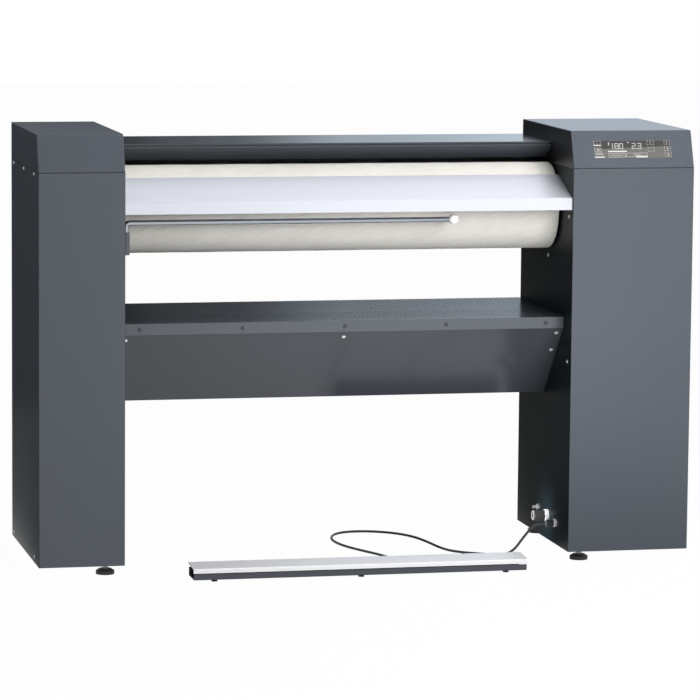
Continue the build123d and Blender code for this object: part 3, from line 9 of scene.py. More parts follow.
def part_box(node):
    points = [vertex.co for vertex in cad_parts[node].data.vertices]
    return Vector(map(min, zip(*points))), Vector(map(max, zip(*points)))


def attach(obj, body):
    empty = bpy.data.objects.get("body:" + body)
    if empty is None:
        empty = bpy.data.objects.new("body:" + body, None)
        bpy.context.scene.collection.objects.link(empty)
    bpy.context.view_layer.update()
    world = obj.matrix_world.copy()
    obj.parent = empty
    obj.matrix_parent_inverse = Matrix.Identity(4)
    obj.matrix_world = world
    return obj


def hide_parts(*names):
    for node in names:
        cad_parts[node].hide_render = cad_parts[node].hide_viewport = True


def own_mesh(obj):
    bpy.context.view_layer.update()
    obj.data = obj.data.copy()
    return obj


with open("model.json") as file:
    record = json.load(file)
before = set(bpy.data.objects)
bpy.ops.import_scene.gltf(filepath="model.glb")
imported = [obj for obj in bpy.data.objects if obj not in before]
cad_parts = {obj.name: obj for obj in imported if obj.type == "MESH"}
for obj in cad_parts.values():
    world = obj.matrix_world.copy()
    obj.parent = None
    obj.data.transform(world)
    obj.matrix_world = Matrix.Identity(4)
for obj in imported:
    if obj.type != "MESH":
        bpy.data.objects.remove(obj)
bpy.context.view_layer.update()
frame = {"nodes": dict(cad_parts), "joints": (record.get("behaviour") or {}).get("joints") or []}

scene = bpy.context.scene
scene.view_settings.view_transform = "Standard"
nodes = frame["nodes"]

# ---- Camera ---------------------------------------------------------------------------------
# The machine is seen from far off with a long lens, a little from the left and from above.
# Place, turn and lens were fitted to the edges of the columns, hoods, shelf and pedal.
CAMERA_PLACE = (-1.994374, -8.882706, 1.626564)
CAMERA_YAW = 0.219839
CAMERA_PITCH = 0.123921
CAMERA_ROLL = 0.008680
FOCAL_PIXELS = 3881.58
FRAME_PIXELS = 700
SENSOR_MM = 36.0

ahead = Vector((math.sin(CAMERA_YAW) * math.cos(CAMERA_PITCH),
                math.cos(CAMERA_YAW) * math.cos(CAMERA_PITCH), -math.sin(CAMERA_PITCH)))
level = Vector((math.cos(CAMERA_YAW), -math.sin(CAMERA_YAW), 0))
upright = level.cross(ahead)
right = math.cos(CAMERA_ROLL) * level + math.sin(CAMERA_ROLL) * upright
up = math.cos(CAMERA_ROLL) * upright - math.sin(CAMERA_ROLL) * level
camera_data = bpy.data.cameras.new("camera")
camera_data.lens = FOCAL_PIXELS / FRAME_PIXELS * SENSOR_MM
camera_data.sensor_width = SENSOR_MM
camera_data.clip_end = 100
camera = bpy.data.objects.new("camera", camera_data)
turn = Matrix((right, up, -ahead)).transposed().to_4x4()
camera.matrix_world = Matrix.Translation(CAMERA_PLACE) @ turn
scene.collection.objects.link(camera)
scene.camera = camera


# ---- Pedal cable ----------------------------------------------------------------------------
# Black sheathed control cable of 6 mm.  It leaves the small gland on the right column, drops to
# the floor, and lies in one loose loop behind the pedal before it enters the pedal's back.
CABLE_DIAMETER = 0.006
CABLE_ROUTE = [
    (0.455, -0.070, 0.0765), (0.440, -0.070, 0.0765), (0.424, -0.070, 0.0695),
    (0.405, -0.0695, 0.0475), (0.3735, -0.068, 0.0049), (0.333, -0.063, 0.0031),
    (0.297, -0.042, 0.0031), (0.265, -0.019, 0.0031), (0.239, 0.013, 0.0031),
    (0.227, 0.061, 0.0031), (0.217, 0.141, 0.0031), (0.202, 0.213, 0.0031),
    (0.172, 0.266, 0.0031), (0.128, 0.301, 0.0031), (0.075, 0.314, 0.0031),
    (0.028, 0.297, 0.0031), (0.001, 0.246, 0.0031), (-0.007, 0.183, 0.0031),
    (0.005, 0.115, 0.0031), (0.032, 0.049, 0.0031), (0.061, -0.010, 0.0031),
    (0.083, -0.074, 0.0031), (0.093, -0.134, 0.0034), (0.096, -0.178, 0.0105),
    (0.096, -0.210, 0.0105)]


def feed(tree, node, inputs):
    """Gives a node its inputs: an output of another node is linked, all else is a plain value."""
    for label, value in inputs.items():
        if isinstance(value, bpy.types.NodeSocket):
            tree.links.new(value, node.inputs[label])
        else:
            node.inputs[label].default_value = value


def add(tree, kind, inputs=None, **settings):
    """A new node with its settings and inputs."""
    node = tree.nodes.new(kind)
    for label, value in settings.items():
        setattr(node, label, value)
    feed(tree, node, inputs or {})
    return node


def maths(tree, operation, *values):
    """The result of one Math node."""
    return add(tree, "ShaderNodeMath", dict(enumerate(values)), operation=operation).outputs[0]


def scaled(tree, colour, factor):
    """A colour times a value."""
    return add(tree, "ShaderNodeVectorMath", {0: colour, "Scale": factor},
               operation="SCALE").outputs[0]


def new_material(name, colour, roughness, metallic=0.0):
    """A material whose Principled shader has these plain values; returns it with its nodes."""
    material = bpy.data.materials.new(name)
    material.use_nodes = True
    tree = material.node_tree
    shader = tree.nodes["Principled BSDF"]
    feed(tree, shader, {"Base Color": (*colour, 1), "Roughness": roughness, "Metallic": metallic})
    return material, tree, shader


def surface_group():
    """Shared fine grain of moulded and coated skins.

    Two noises on Object coordinates: the fine one gives the bump, the coarse one a slow drift of
    tone between 1 - Drift and 1 + Drift, by which colour and roughness are multiplied.
    """
    group = bpy.data.node_groups.new("surface grain", "ShaderNodeTree")
    for label, kind, default in (("Colour", "Color", (0.5, 0.5, 0.5, 1)), ("Grain", "Float", 900.0),
                                 ("Relief", "Float", 0.05), ("Drift", "Float", 0.04),
                                 ("Roughness", "Float", 0.4)):
        socket = group.interface.new_socket(label, in_out="INPUT", socket_type="NodeSocket" + kind)
        socket.default_value = default
    for label, kind in (("Colour", "Color"), ("Roughness", "Float"), ("Normal", "Vector")):
        group.interface.new_socket(label, in_out="OUTPUT", socket_type="NodeSocket" + kind)
    given = add(group, "NodeGroupInput").outputs
    place = add(group, "ShaderNodeTexCoord").outputs["Object"]
    fine = add(group, "ShaderNodeTexNoise", {"Vector": place, "Scale": given["Grain"], "Detail": 2})
    coarse = add(group, "ShaderNodeTexNoise", {"Vector": place, "Scale": 6, "Detail": 4})
    centred = maths(group, "SUBTRACT", coarse.outputs["Fac"], 0.5)
    tone = maths(group, "MULTIPLY_ADD", centred, given["Drift"], 1.0)
    bump = add(group, "ShaderNodeBump", {"Distance": 0.0002, "Strength": given["Relief"],
                                         "Height": fine.outputs["Fac"]})
    feed(group, add(group, "NodeGroupOutput"),
         {"Colour": scaled(group, given["Colour"], tone), "Normal": bump.outputs["Normal"],
          "Roughness": maths(group, "MULTIPLY", given["Roughness"], tone)})
    return group


SURFACE = surface_group()


def surface(tree, colour, roughness, grain, relief, drift):
    """The shared grain in a material: its colour, roughness and normal."""
    return add(tree, "ShaderNodeGroup", {"Colour": (*colour, 1), "Grain": grain, "Relief": relief,
                                         "Drift": drift, "Roughness": roughness},
               node_tree=SURFACE).outputs


def coat(tree, shader, skin, colour):
    """Feeds the shader with a colour and with the grain's roughness and normal."""
    feed(tree, shader, {"Base Color": colour, "Roughness": skin["Roughness"],
                        "Normal": skin["Normal"]})


def grained(name, colour, roughness, grain=900.0, relief=0.05, drift=0.06, metallic=0.0):
    """A coated or moulded finish with the shared grain."""
    material, tree, shader = new_material(name, colour, roughness, metallic)
    skin = surface(tree, colour, roughness, grain, relief, drift)
    coat(tree, shader, skin, skin["Colour"])
    return material


def settle(piece, material, body, slot, *replaced):
    """Gives a new piece its finish and its body, and hides the CAD nodes that it stands for. The
    slot is not used.
    """
    piece.data.materials.append(material)
    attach(piece, body)
    if replaced:
        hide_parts(*replaced)


def cable_curve():
    """One NURBS spline of order 3 through the route's points."""
    curve = bpy.data.curves.new("pedal_cable", "CURVE")
    curve.dimensions = "3D"
    spline = curve.splines.new("NURBS")
    spline.points.add(len(CABLE_ROUTE) - 1)
    for point, place in zip(spline.points, CABLE_ROUTE):
        point.co = (*place, 1)
    spline.order_u = 3
    spline.use_endpoint_u = True
    curve.resolution_u = 8
    curve.bevel_depth = CABLE_DIAMETER / 2
    curve.bevel_resolution = 3
    return curve


cable = bpy.data.objects.new("pedal_cable", cable_curve())
scene.collection.objects.link(cable)
sheath = grained("cable sheath", (0.045, 0.044, 0.042), 0.38, grain=1500.0, drift=0.2)
settle(cable, sheath, "machine", "cord_black", "pedal_cord")


# ---- Floor, backdrop and light --------------------------------------------------------------
# A plain white sweep that camera and gloss see near full white.  A big soft lamp stands in front
# on the right, one hangs above, and two small ones reach under the feed board and to the cable
# glands.  Gloss sees no lamp, but dark flags on the floor and a graded card behind the machine.
FLOOR_SIZE = 40.0
FLOOR_PAINT = (0.3, 0.3, 0.3)
FLOOR_GLOW = 1.04
FLOOR_WHITE_SHARE = 0.94
FLOOR_DIM = 0.72
FLOOR_DIM_TO_X, FLOOR_WHITE_FROM_X = 0.9, 1.35
AMBIENT_SPAN = (-0.5, 0.7)
AMBIENT_LEFT, AMBIENT_RIGHT = 0.02, 0.42
SKY_BEHIND = (-0.3, 0.0)
SKY_DARK_FROM, SKY_DARK_TO, SKY_DARK = 0.22, 0.48, 0.15
FLAG_LIFT = 0.0006
CARD_Y = 2.6
CARD_LEFT, CARD_RIGHT, CARD_TOP = -6.0, 3.5, 5.0
CARD_STEP_X, CARD_STEP_Z = 0.15, 0.5
CARD_RAMP = 1.2
CARD_STOPS = ((0.45, 0.02), (0.50, 0.085), (0.58, 0.13), (0.755, 0.67))
CARD_LEFT_GLOW = 0.24
CARD_LOW, CARD_LOW_GLOW = (0.88, 1.25), 0.26
CARD_HIGH, CARD_HIGH_SHARE, CARD_HIGH_GLOW = (1.5, 3.2), 0.8, 0.71
CARD_COLOUR = (0.76, 0.88, 1.0)
CARD_TOP_COLOUR = (0.97, 0.96, 1.0)
CARD_STRENGTH = 1.5


def flat_mesh(name, corners):
    """One flat face through the given corners."""
    mesh = bpy.data.meshes.new(name)
    mesh.from_pydata(corners, [], [range(len(corners))])
    piece = bpy.data.objects.new(name, mesh)
    scene.collection.objects.link(piece)
    return piece


def largest(tree, first, *others):
    """The largest of several values."""
    for other in others:
        first = maths(tree, "MAXIMUM", first, other)
    return first


def ranged(tree, value, start, end, low=0.0, high=1.0, way="LINEAR"):
    """A ramp from low to high while the value runs from start to end."""
    return add(tree, "ShaderNodeMapRange", {"Value": value, "From Min": start, "From Max": end,
                                            "To Min": low, "To Max": high},
               interpolation_type=way).outputs["Result"]


def mixed(tree, factor, first, second):
    """The first colour where the factor is 0, the second where it is 1."""
    return add(tree, "ShaderNodeMix", {"Factor": factor, "A": first, "B": second},
               data_type="RGBA").outputs["Result"]


def object_place(tree):
    """Object coordinates, and their X, Y and Z."""
    place = add(tree, "ShaderNodeTexCoord").outputs["Object"]
    return place, add(tree, "ShaderNodeSeparateXYZ", {0: place}).outputs


def white_floor():
    """Grey paint under the lamps, and a white glow for camera, gloss and glass.

    The glow that gloss sees rises smoothly from FLOOR_DIM to 1 between two places along X.
    """
    material, tree, shader = new_material("white floor", FLOOR_PAINT, 0.9)
    feed(tree, shader, {"Specular IOR Level": 0.0})
    glow = add(tree, "ShaderNodeEmission", {"Strength": FLOOR_GLOW})
    ray = add(tree, "ShaderNodeLightPath").outputs
    grade = ranged(tree, object_place(tree)[1]["X"], FLOOR_DIM_TO_X, FLOOR_WHITE_FROM_X,
                   FLOOR_DIM, 1.0, "SMOOTHSTEP")
    mirrored = maths(tree, "MULTIPLY", ray["Is Glossy Ray"], grade)
    seen = largest(tree, ray["Is Camera Ray"], mirrored, ray["Is Transmission Ray"])
    blend = add(tree, "ShaderNodeMixShader",
                {"Fac": maths(tree, "MULTIPLY", seen, FLOOR_WHITE_SHARE), 1: shader.outputs[0],
                 2: glow.outputs[0]})
    feed(tree, tree.nodes["Material Output"], {"Surface": blend.outputs[0]})
    return material


half = FLOOR_SIZE / 2
floor = flat_mesh("floor", [(-half, -half, 0), (half, -half, 0), (half, half, 0), (-half, half, 0)])
floor.data.materials.append(white_floor())


def studio_sky(tree):
    """White for the camera and glass; soft light that grows from the left to the right.

    Gloss sees white too, except high up in front, where it sinks smoothly to SKY_DARK.
    """
    direction = add(tree, "ShaderNodeTexCoord").outputs["Generated"]
    way = add(tree, "ShaderNodeSeparateXYZ", {0: direction}).outputs
    ray = add(tree, "ShaderNodeLightPath").outputs
    ambient = ranged(tree, way["X"], *AMBIENT_SPAN, AMBIENT_LEFT, AMBIENT_RIGHT)
    behind = ranged(tree, way["Y"], *SKY_BEHIND)
    low_down = ranged(tree, way["Z"], SKY_DARK_FROM, SKY_DARK_TO, 1.0, SKY_DARK, "SMOOTHSTEP")
    mirrored = maths(tree, "MULTIPLY", ray["Is Glossy Ray"], largest(tree, behind, low_down))
    seen = largest(tree, ray["Is Camera Ray"], mirrored, ray["Is Transmission Ray"])
    feed(tree, tree.nodes["Background"], {"Color": (1, 1, 1, 1),
                                          "Strength": ranged(tree, seen, 0.0, 1.0, ambient, 1.0)})


world = bpy.data.worlds.new("studio")
scene.world = world
world.use_nodes = True
studio_sky(world.node_tree)


def lamp(name, place, aim, size, power, spread=180):
    """A soft lamp of that width and height, which looks at a point; the spread is in degrees."""
    data = bpy.data.lights.new(name, "AREA")
    data.shape = "RECTANGLE"
    data.size, data.size_y = size
    data.energy = power
    data.spread = math.radians(spread)
    piece = bpy.data.objects.new(name, data)
    piece.location = place
    piece.rotation_euler = (Vector(aim) - Vector(place)).to_track_quat("-Z", "Y").to_euler()
    piece.visible_camera = False
    piece.visible_glossy = False
    scene.collection.objects.link(piece)


lamp("key lamp", (1.3, -4.1, 2.0), aim=(0.0, 0.0, 0.6), size=(1.8, 1.8), power=157.0)
lamp("top lamp", (1.35, -0.6, 3.4), aim=(0.4, 0.0, 0.6), size=(1.8, 2.0), power=60.0)
lamp("roller fill", (0.30, -1.8, 0.06), aim=(0.25, -0.08, 0.72), size=(1.0, 0.2), power=1.7,
     spread=50)
lamp("gland fill", (-0.42, -0.30, 0.32), aim=(0.46, 0.01, 0.083), size=(0.06, 0.06), power=0.13,
     spread=11)


def only_gloss_sees(piece, material):
    """Keeps a card out of the picture, the shadows and the soft light."""
    piece.data.materials.append(material)
    piece.visible_camera = False
    piece.visible_shadow = False
    piece.visible_diffuse = False


def flag_cloth(name, tint):
    """A dull cloth that gives back no light but its own faint tint."""
    material, tree, shader = new_material(name, (0.0, 0.0, 0.0), 1.0)
    feed(tree, shader, {"Specular IOR Level": 0.0, "Emission Color": (*tint, 1),
                        "Emission Strength": 1.0})
    return material


def floor_flag(name, material, near, far):
    """A dark strip on the floor that runs off along the way in which a side mirrors it.

    Its near and far edges are each given by their left end, right end and place along Y.
    """
    corners = [(near[0], near[2]), (near[1], near[2]), (far[1], far[2]), (far[0], far[2])]
    only_gloss_sees(flat_mesh(name, [(x, y, FLAG_LIFT) for x, y in corners]), material)


flag_black = flag_cloth("black flag", (0.008, 0.020, 0.025))
flag_grey = flag_cloth("grey flag", (0.014, 0.028, 0.036))
floor_flag("left flag", flag_grey, near=(-6.0, -0.78, -0.3), far=(-6.0, -1.3, 6.0))
floor_flag("right flag", flag_black, near=(0.05, 0.47, 0.05), far=(-1.7, -0.35, 6.0))
floor_flag("front flag", flag_black, near=(0.42, 0.95, -0.22), far=(0.55, 1.15, -1.7))


def graded_card():
    """Glow that follows a ramp from left to right, and sinks in the low band for the shelf.

    In the high band the ramp fades into an even, whiter field.
    """
    material, tree, _ = new_material("graded card", CARD_COLOUR, 1.0)
    parts = object_place(tree)[1]
    ramp = add(tree, "ShaderNodeValToRGB",
               {"Fac": ranged(tree, parts["X"], -CARD_RAMP, CARD_RAMP)})
    ramp.color_ramp.interpolation = "EASE"
    stops = ramp.color_ramp.elements
    stops[0].color = (CARD_LEFT_GLOW, CARD_LEFT_GLOW, CARD_LEFT_GLOW, 1)
    for at, value in CARD_STOPS:
        stops.new(at).color = (value, value, value, 1)
    band = ranged(tree, parts["Z"], *CARD_LOW, CARD_LOW_GLOW, 1.0, "SMOOTHSTEP")
    lit = maths(tree, "MULTIPLY", ramp.outputs["Color"], band)
    high = ranged(tree, parts["Z"], *CARD_HIGH, 0.0, CARD_HIGH_SHARE, "SMOOTHSTEP")
    fade = add(tree, "ShaderNodeMix", {"Factor": high, "A": lit, "B": CARD_HIGH_GLOW})
    tint = mixed(tree, high, (*CARD_COLOUR, 1), (*CARD_TOP_COLOUR, 1))
    strength = maths(tree, "MULTIPLY", fade.outputs["Result"], CARD_STRENGTH)
    glow = add(tree, "ShaderNodeEmission", {"Color": tint, "Strength": strength})
    feed(tree, tree.nodes["Material Output"], {"Surface": glow.outputs[0]})
    return material


card_corners = [(CARD_LEFT, 0.0), (CARD_STEP_X, 0.0), (CARD_STEP_X, CARD_STEP_Z),
                (CARD_RIGHT, CARD_STEP_Z), (CARD_RIGHT, CARD_TOP), (CARD_LEFT, CARD_TOP)]
only_gloss_sees(flat_mesh("graded card", [(x, CARD_Y, z) for x, z in card_corners]), graded_card())


# ---- Covers of the columns ------------------------------------------------------------------
# Folded steel sheets with two sloping caps, powder-coated blue-grey with a fine orange-peel skin.
# Painted shade darkens the coat along the open seam under each cap, and the coat is also darker on
# the hoods' inner sides.
COVER_PAINT = (0.080, 0.092, 0.110)
WALL_PAINT = (0.005, 0.010, 0.013)
BEAM_PAINT = (0.066, 0.075, 0.089)
SEAM_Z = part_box("right_hood")[0][2]
SEAM_SHADE = 0.0016
INNER_SIDE = (0.0003, 0.0006)
DEEP_SHADE = 0.12


def dress(material, *names):
    """Gives CAD pieces their finish."""
    for name in names:
        piece = nodes[name]
        piece.data.materials.clear()
        piece.data.materials.append(material)


def cover_finish():
    """The coat's grain, with painted shade sunk to DEEP_SHADE at the seam's height, and sunk as far
    on the hoods' inner sides.

    The seam's shade fades over SEAM_SHADE above and below it.  The inner sides' shade fades over
    INNER_SIDE, the distance from the hoods' planes towards the roller.
    """
    material, tree, shader = new_material("cover paint", COVER_PAINT, 0.36)
    skin = surface(tree, COVER_PAINT, 0.36, grain=420.0, relief=0.12, drift=0.05)
    parts = object_place(tree)[1]

    def shade(value, plane, start, end):
        """The shade that fades as the distance from a plane runs from start to end."""
        apart = maths(tree, "ABSOLUTE", maths(tree, "SUBTRACT", value, plane))
        return ranged(tree, apart, start, end, DEEP_SHADE, 1.0)

    # Painted shade: a dark band at the seam's height stands for the shadow in the gap under the
    # cap.
    dark = shade(parts["Z"], SEAM_Z, 0.0, SEAM_SHADE)
    for plane in (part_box("left_hood")[1][0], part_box("right_hood")[0][0]):
        dark = maths(tree, "MINIMUM", dark, shade(parts["X"], plane, *INNER_SIDE))
    coat(tree, shader, skin, scaled(tree, skin["Colour"], dark))
    return material


cover_coat = cover_finish()
dress(cover_coat, "left_casing", "right_casing", "left_hood", "right_hood",
      "left_rear_panel", "right_rear_panel")
beam_coat = grained("beam paint", BEAM_PAINT, 0.15, grain=420.0, relief=0.04, drift=0.05)
dress(beam_coat, "beam_front", "beam_rear")
wall_coat = grained("wall paint", WALL_PAINT, 0.4, grain=420.0, relief=0.12, drift=0.08)
wall_coat.node_tree.nodes["Principled BSDF"].inputs["Specular IOR Level"].default_value = 0.1
dress(wall_coat, "left_inner_panel", "right_inner_panel")


# ---- Roller ---------------------------------------------------------------------------------
# Steel drum wound with springy felt and dressed in cream ironing cloth, which is drawn in over
# the ends with a cord.
CLOTH_COLOUR = (0.76, 0.745, 0.70)
CLOTH_SHADE = (0.64, 0.62, 0.57)
low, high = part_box("roller_cloth")
ROLLER_AXIS = ((low[1] + high[1]) / 2, (low[2] + high[2]) / 2)
ROLLER_RADIUS = (high[2] - low[2]) / 2
CLOTH_END_RADIUS = 0.058
CLOTH_SHOULDER = 0.004
CLOTH_SWELL = 0.00022
PLEATS = 46
PLEAT_DEPTH = 0.0012
PLEAT_FADE = 0.03
CREASE_SLANT = 0.42
CREASE_STRETCH = (17, 200, 1)
CREASE_SHARE = 0.65
CREASE_TONES = (0.33, 0.64)
THREADS = 240


def mesh_piece(name, points, faces, smooth):
    """A piece from arrays of points and of faces that all have as many corners."""
    mesh = bpy.data.meshes.new(name)
    mesh.from_pydata(points.tolist(), [], faces.tolist())
    mesh.polygons.foreach_set("use_smooth", np.full(len(faces), smooth))
    mesh.update()
    piece = bpy.data.objects.new(name, mesh)
    scene.collection.objects.link(piece)
    return piece


def mesh_from_grid(name, x, y, z, u=None, v=None, wrap=False):
    """A piece from a grid of points, as 2-D arrays; its last column joins the first if wrapped.

    u and v, where given, are kept as the piece's UV map, in metres along the surface.
    """
    def four_corners(grid):
        """The grid's value at the four corners of each face."""
        return np.stack([grid[:-1, :-1], grid[:-1, 1:], grid[1:, 1:], grid[1:, :-1]], axis=2)

    points = np.stack([x, y, z], axis=-1).reshape(-1, 3)
    index = np.arange(x.size).reshape(x.shape)
    if wrap:
        index = np.concatenate([index, index[:, :1]], axis=1)
    piece = mesh_piece(name, points, four_corners(index).reshape(-1, 4), True)
    if u is not None:
        corners = four_corners(np.stack([u, v], axis=-1)).reshape(-1, 2)
        layer = piece.data.uv_layers.new(name="along the cloth")
        layer.data.foreach_set("uv", corners.astype(np.float32).ravel())
    return piece


def turned(name, outline_x, outline_r, sides, axis, change=None):
    """An outline turned once round an axis along X; change may alter radius by place and angle."""
    angle = np.linspace(0, 2 * math.pi, sides, endpoint=False)
    x, t = np.meshgrid(outline_x, angle, indexing="ij")
    r = np.meshgrid(outline_r, angle, indexing="ij")[0]
    if change:
        r = change(x, t, r)
    return mesh_from_grid(name, x, axis[0] + r * np.cos(t), axis[1] + r * np.sin(t), wrap=True)


def dressed_roller():
    """The cloth's surface, turned round the roller's axis.

    Its outline runs from the drawn-in edge at one end, over a quarter-round shoulder, along the
    roller and back down at the other end.  The end faces gather into shallow pleats, and the
    radius swells and sinks by a few tenths of a millimetre along the roller.
    """
    x0, x1 = low[0], high[0]
    quarter = np.linspace(0, math.pi / 2, 7)
    face = np.linspace(CLOTH_END_RADIUS, ROLLER_RADIUS - CLOTH_SHOULDER, 8)[:-1]
    left_x = np.concatenate([np.full(7, x0), x0 + CLOTH_SHOULDER * (1 - np.cos(quarter))])
    left_r = np.concatenate([face, ROLLER_RADIUS - CLOTH_SHOULDER * (1 - np.sin(quarter))])
    run = np.linspace(x0 + CLOTH_SHOULDER, x1 - CLOTH_SHOULDER, 160)[1:-1]
    outline_x = np.concatenate([left_x, run, x0 + x1 - left_x[::-1]])
    outline_r = np.concatenate([left_r, np.full(len(run), ROLLER_RADIUS), left_r[::-1]])
    step = np.hypot(np.diff(outline_x), np.diff(outline_r))
    along = np.concatenate([[0], np.cumsum(step)])
    angle = np.linspace(0, 2 * math.pi, 193)
    x, t = np.meshgrid(outline_x, angle, indexing="ij")
    r = np.meshgrid(outline_r, angle, indexing="ij")[0]
    on_end = np.clip((ROLLER_RADIUS - r) / PLEAT_FADE, 0, 1)
    inward = np.where(x < (x0 + x1) / 2, 1.0, -1.0)
    x = x + inward * on_end * PLEAT_DEPTH * (1 + np.sin(PLEATS * t))
    waves = (np.sin(31 * x + 3 * np.sin(2 * t)) * np.sin(3 * t + 9 * x)
             + 0.6 * np.sin(83 * x + 5 * np.cos(t)) * np.sin(7 * t - 14 * x))
    r = r - CLOTH_SWELL * (1.6 + waves) * (1 - on_end)
    y = ROLLER_AXIS[0] + r * np.cos(t)
    z = ROLLER_AXIS[1] + r * np.sin(t)
    u = np.meshgrid(along, angle, indexing="ij")[0]
    return mesh_from_grid("roller_cloth_cover", x, y, z, u, t * ROLLER_RADIUS), along[-1]


def cloth_material():
    """Plain weave: two crossed waves of a thread's width make the fine bump.

    Noise squeezed across a slant on the cloth's own map gives the fine drawn creases, a wide one
    mottles the cream as ironing does, and both feed the colour and a second, deeper bump.
    """
    material, tree, shader = new_material("ironing cloth", CLOTH_COLOUR, 0.95)
    uv = add(tree, "ShaderNodeUVMap", uv_map="along the cloth").outputs["UV"]
    place = add(tree, "ShaderNodeTexCoord").outputs["Object"]
    bands = [add(tree, "ShaderNodeTexWave", {"Vector": uv, "Scale": THREADS, "Distortion": 0.6},
                 bands_direction=way).outputs["Fac"] for way in ("X", "Y")]
    weave = maths(tree, "MULTIPLY", *bands)
    mottle = add(tree, "ShaderNodeTexNoise", {"Vector": place, "Scale": 9, "Detail": 3})
    slanted = add(tree, "ShaderNodeMapping", {"Vector": uv, "Rotation": (0, 0, CREASE_SLANT)})
    squeezed = add(tree, "ShaderNodeMapping", {"Vector": slanted.outputs["Vector"],
                                               "Scale": CREASE_STRETCH})
    crease = add(tree, "ShaderNodeTexNoise",
                 {"Vector": squeezed.outputs["Vector"], "Scale": 1, "Detail": 5,
                  "Roughness": 0.6, "Distortion": 0.5})
    drawn = maths(tree, "MULTIPLY", crease.outputs["Fac"], CREASE_SHARE)
    both = maths(tree, "MULTIPLY_ADD", mottle.outputs["Fac"], 1 - CREASE_SHARE, drawn)
    ramp = add(tree, "ShaderNodeValToRGB", {"Fac": both})
    stops = ramp.color_ramp.elements
    for stop, at, colour in zip(stops, CREASE_TONES, (CLOTH_SHADE, CLOTH_COLOUR)):
        stop.position = at
        stop.color = (*colour, 1)
    folds = add(tree, "ShaderNodeBump", {"Strength": 0.35, "Distance": 0.002, "Height": both})
    bump = add(tree, "ShaderNodeBump", {"Strength": 0.35, "Distance": 0.0004, "Height": weave,
                                        "Normal": folds.outputs["Normal"]})
    feed(tree, shader, {"Base Color": ramp.outputs["Color"], "Normal": bump.outputs["Normal"],
                        "Sheen Weight": 0.2, "Specular IOR Level": 0.2})
    return material


cloth, cloth_width = dressed_roller()
settle(cloth, cloth_material(), "roller", "roller_cloth", "roller_cloth")

# Felt is wound in three turns on the drum; its edges show the turns as fine steps.
FELT_THICKNESS = 0.0068
FELT_TURNS = 3
FELT_LAP = 0.0004
FELT_SINK = 0.0006
FELT_EDGE = 0.0016


def felt_winding():
    """The felt as a ring: its outline round the section is carried once round the axis.

    The radius of each end face's points is kept, and where two turns meet the face is sunk.
    """
    (x0, _, bottom), (x1, _, top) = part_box("roller_padding")
    outer = (top - bottom) / 2
    inner = outer - FELT_THICKNESS
    height = np.linspace(inner, outer - 0.0008, 10)
    turns = (height - inner) / FELT_THICKNESS * 2 * FELT_TURNS * math.pi
    sunk = FELT_SINK + FELT_LAP * (1 + np.cos(turns))
    rim = [outer - 0.0002]
    outline_x = np.concatenate([x0 + sunk, [x0 + FELT_EDGE], [x1 - FELT_EDGE], (x1 - sunk)[::-1]])
    outline_r = np.concatenate([height, rim, rim, height[::-1]])
    return turned("felt_winding", np.append(outline_x, outline_x[0]),
                  np.append(outline_r, outline_r[0]), 96, ROLLER_AXIS)


felt = grained("felt", (0.55, 0.52, 0.45), 0.95, grain=700.0, relief=0.9, drift=0.25)
winding = felt_winding()
settle(winding, felt, "roller", "padding", "roller_padding")

# Turned steel, castings, galvanised sheet and rubber of the drive, the frames and the lift.
bare_steel = grained("ground steel", (0.50, 0.50, 0.51), 0.35, grain=1200.0, drift=0.1,
                     metallic=1.0)
dress(bare_steel, "roller_drum", "drive_pulley", "heating_elements", "trough_arms", "lift_lever",
      "cam_follower", "lift_cam", "pedal_pin")
cast_metal = grained("cast aluminium", (0.42, 0.43, 0.44), 0.55, grain=500.0, relief=0.3,
                     metallic=1.0)
dress(cast_metal, "roller_bearings", "roller_pulley", "drive_motor", "trough_bushes", "lift_motor")
zinc = grained("galvanised sheet", (0.55, 0.57, 0.60), 0.42, grain=60.0, relief=0.02, drift=0.35,
               metallic=1.0)
dress(zinc, "left_frame", "right_frame", "feed_board_brackets", "cross_tubes")
rubber = grained("black rubber", (0.015, 0.015, 0.016), 0.7, grain=1400.0)
dress(rubber, "drive_belt", "pedal_feet")


# ---- Heated trough, heater cover and finger guard -------------------------------------------
# The polished sole lies behind the roller under a dark coated cover, in a black enamelled outer
# sheet.  The guard is a hinged strip along the feed opening, tucked under the cover's front lip.
dark_coat = grained("heater cover paint", (0.040, 0.046, 0.056), 0.24, grain=420.0, relief=0.1)
dress(dark_coat, "heater_cover", "rear_cover", "finger_guard")
polished = grained("polished sole", (0.78, 0.78, 0.79), 0.16, grain=1500.0, relief=0.02,
                   metallic=1.0)
dress(polished, "trough_sole")
enamel = grained("trough enamel", (0.010, 0.011, 0.012), 0.55, grain=700.0, relief=0.2, drift=0.3)
dress(enamel, "trough_shell")

# The insulation is a quilted blanket of mineral wool between the elements and the outer sheet.
BLANKET_GAP = 0.015
BLANKET_ARC = (-15.0, 73.0)
BLANKET_THICKNESS = 0.0076
QUILT_ROWS = 5
QUILT_PITCH = 0.058
QUILT_STITCH = 0.35
QUILT_POWER = 0.35
TROUGH_OPEN = math.radians(-3.4)


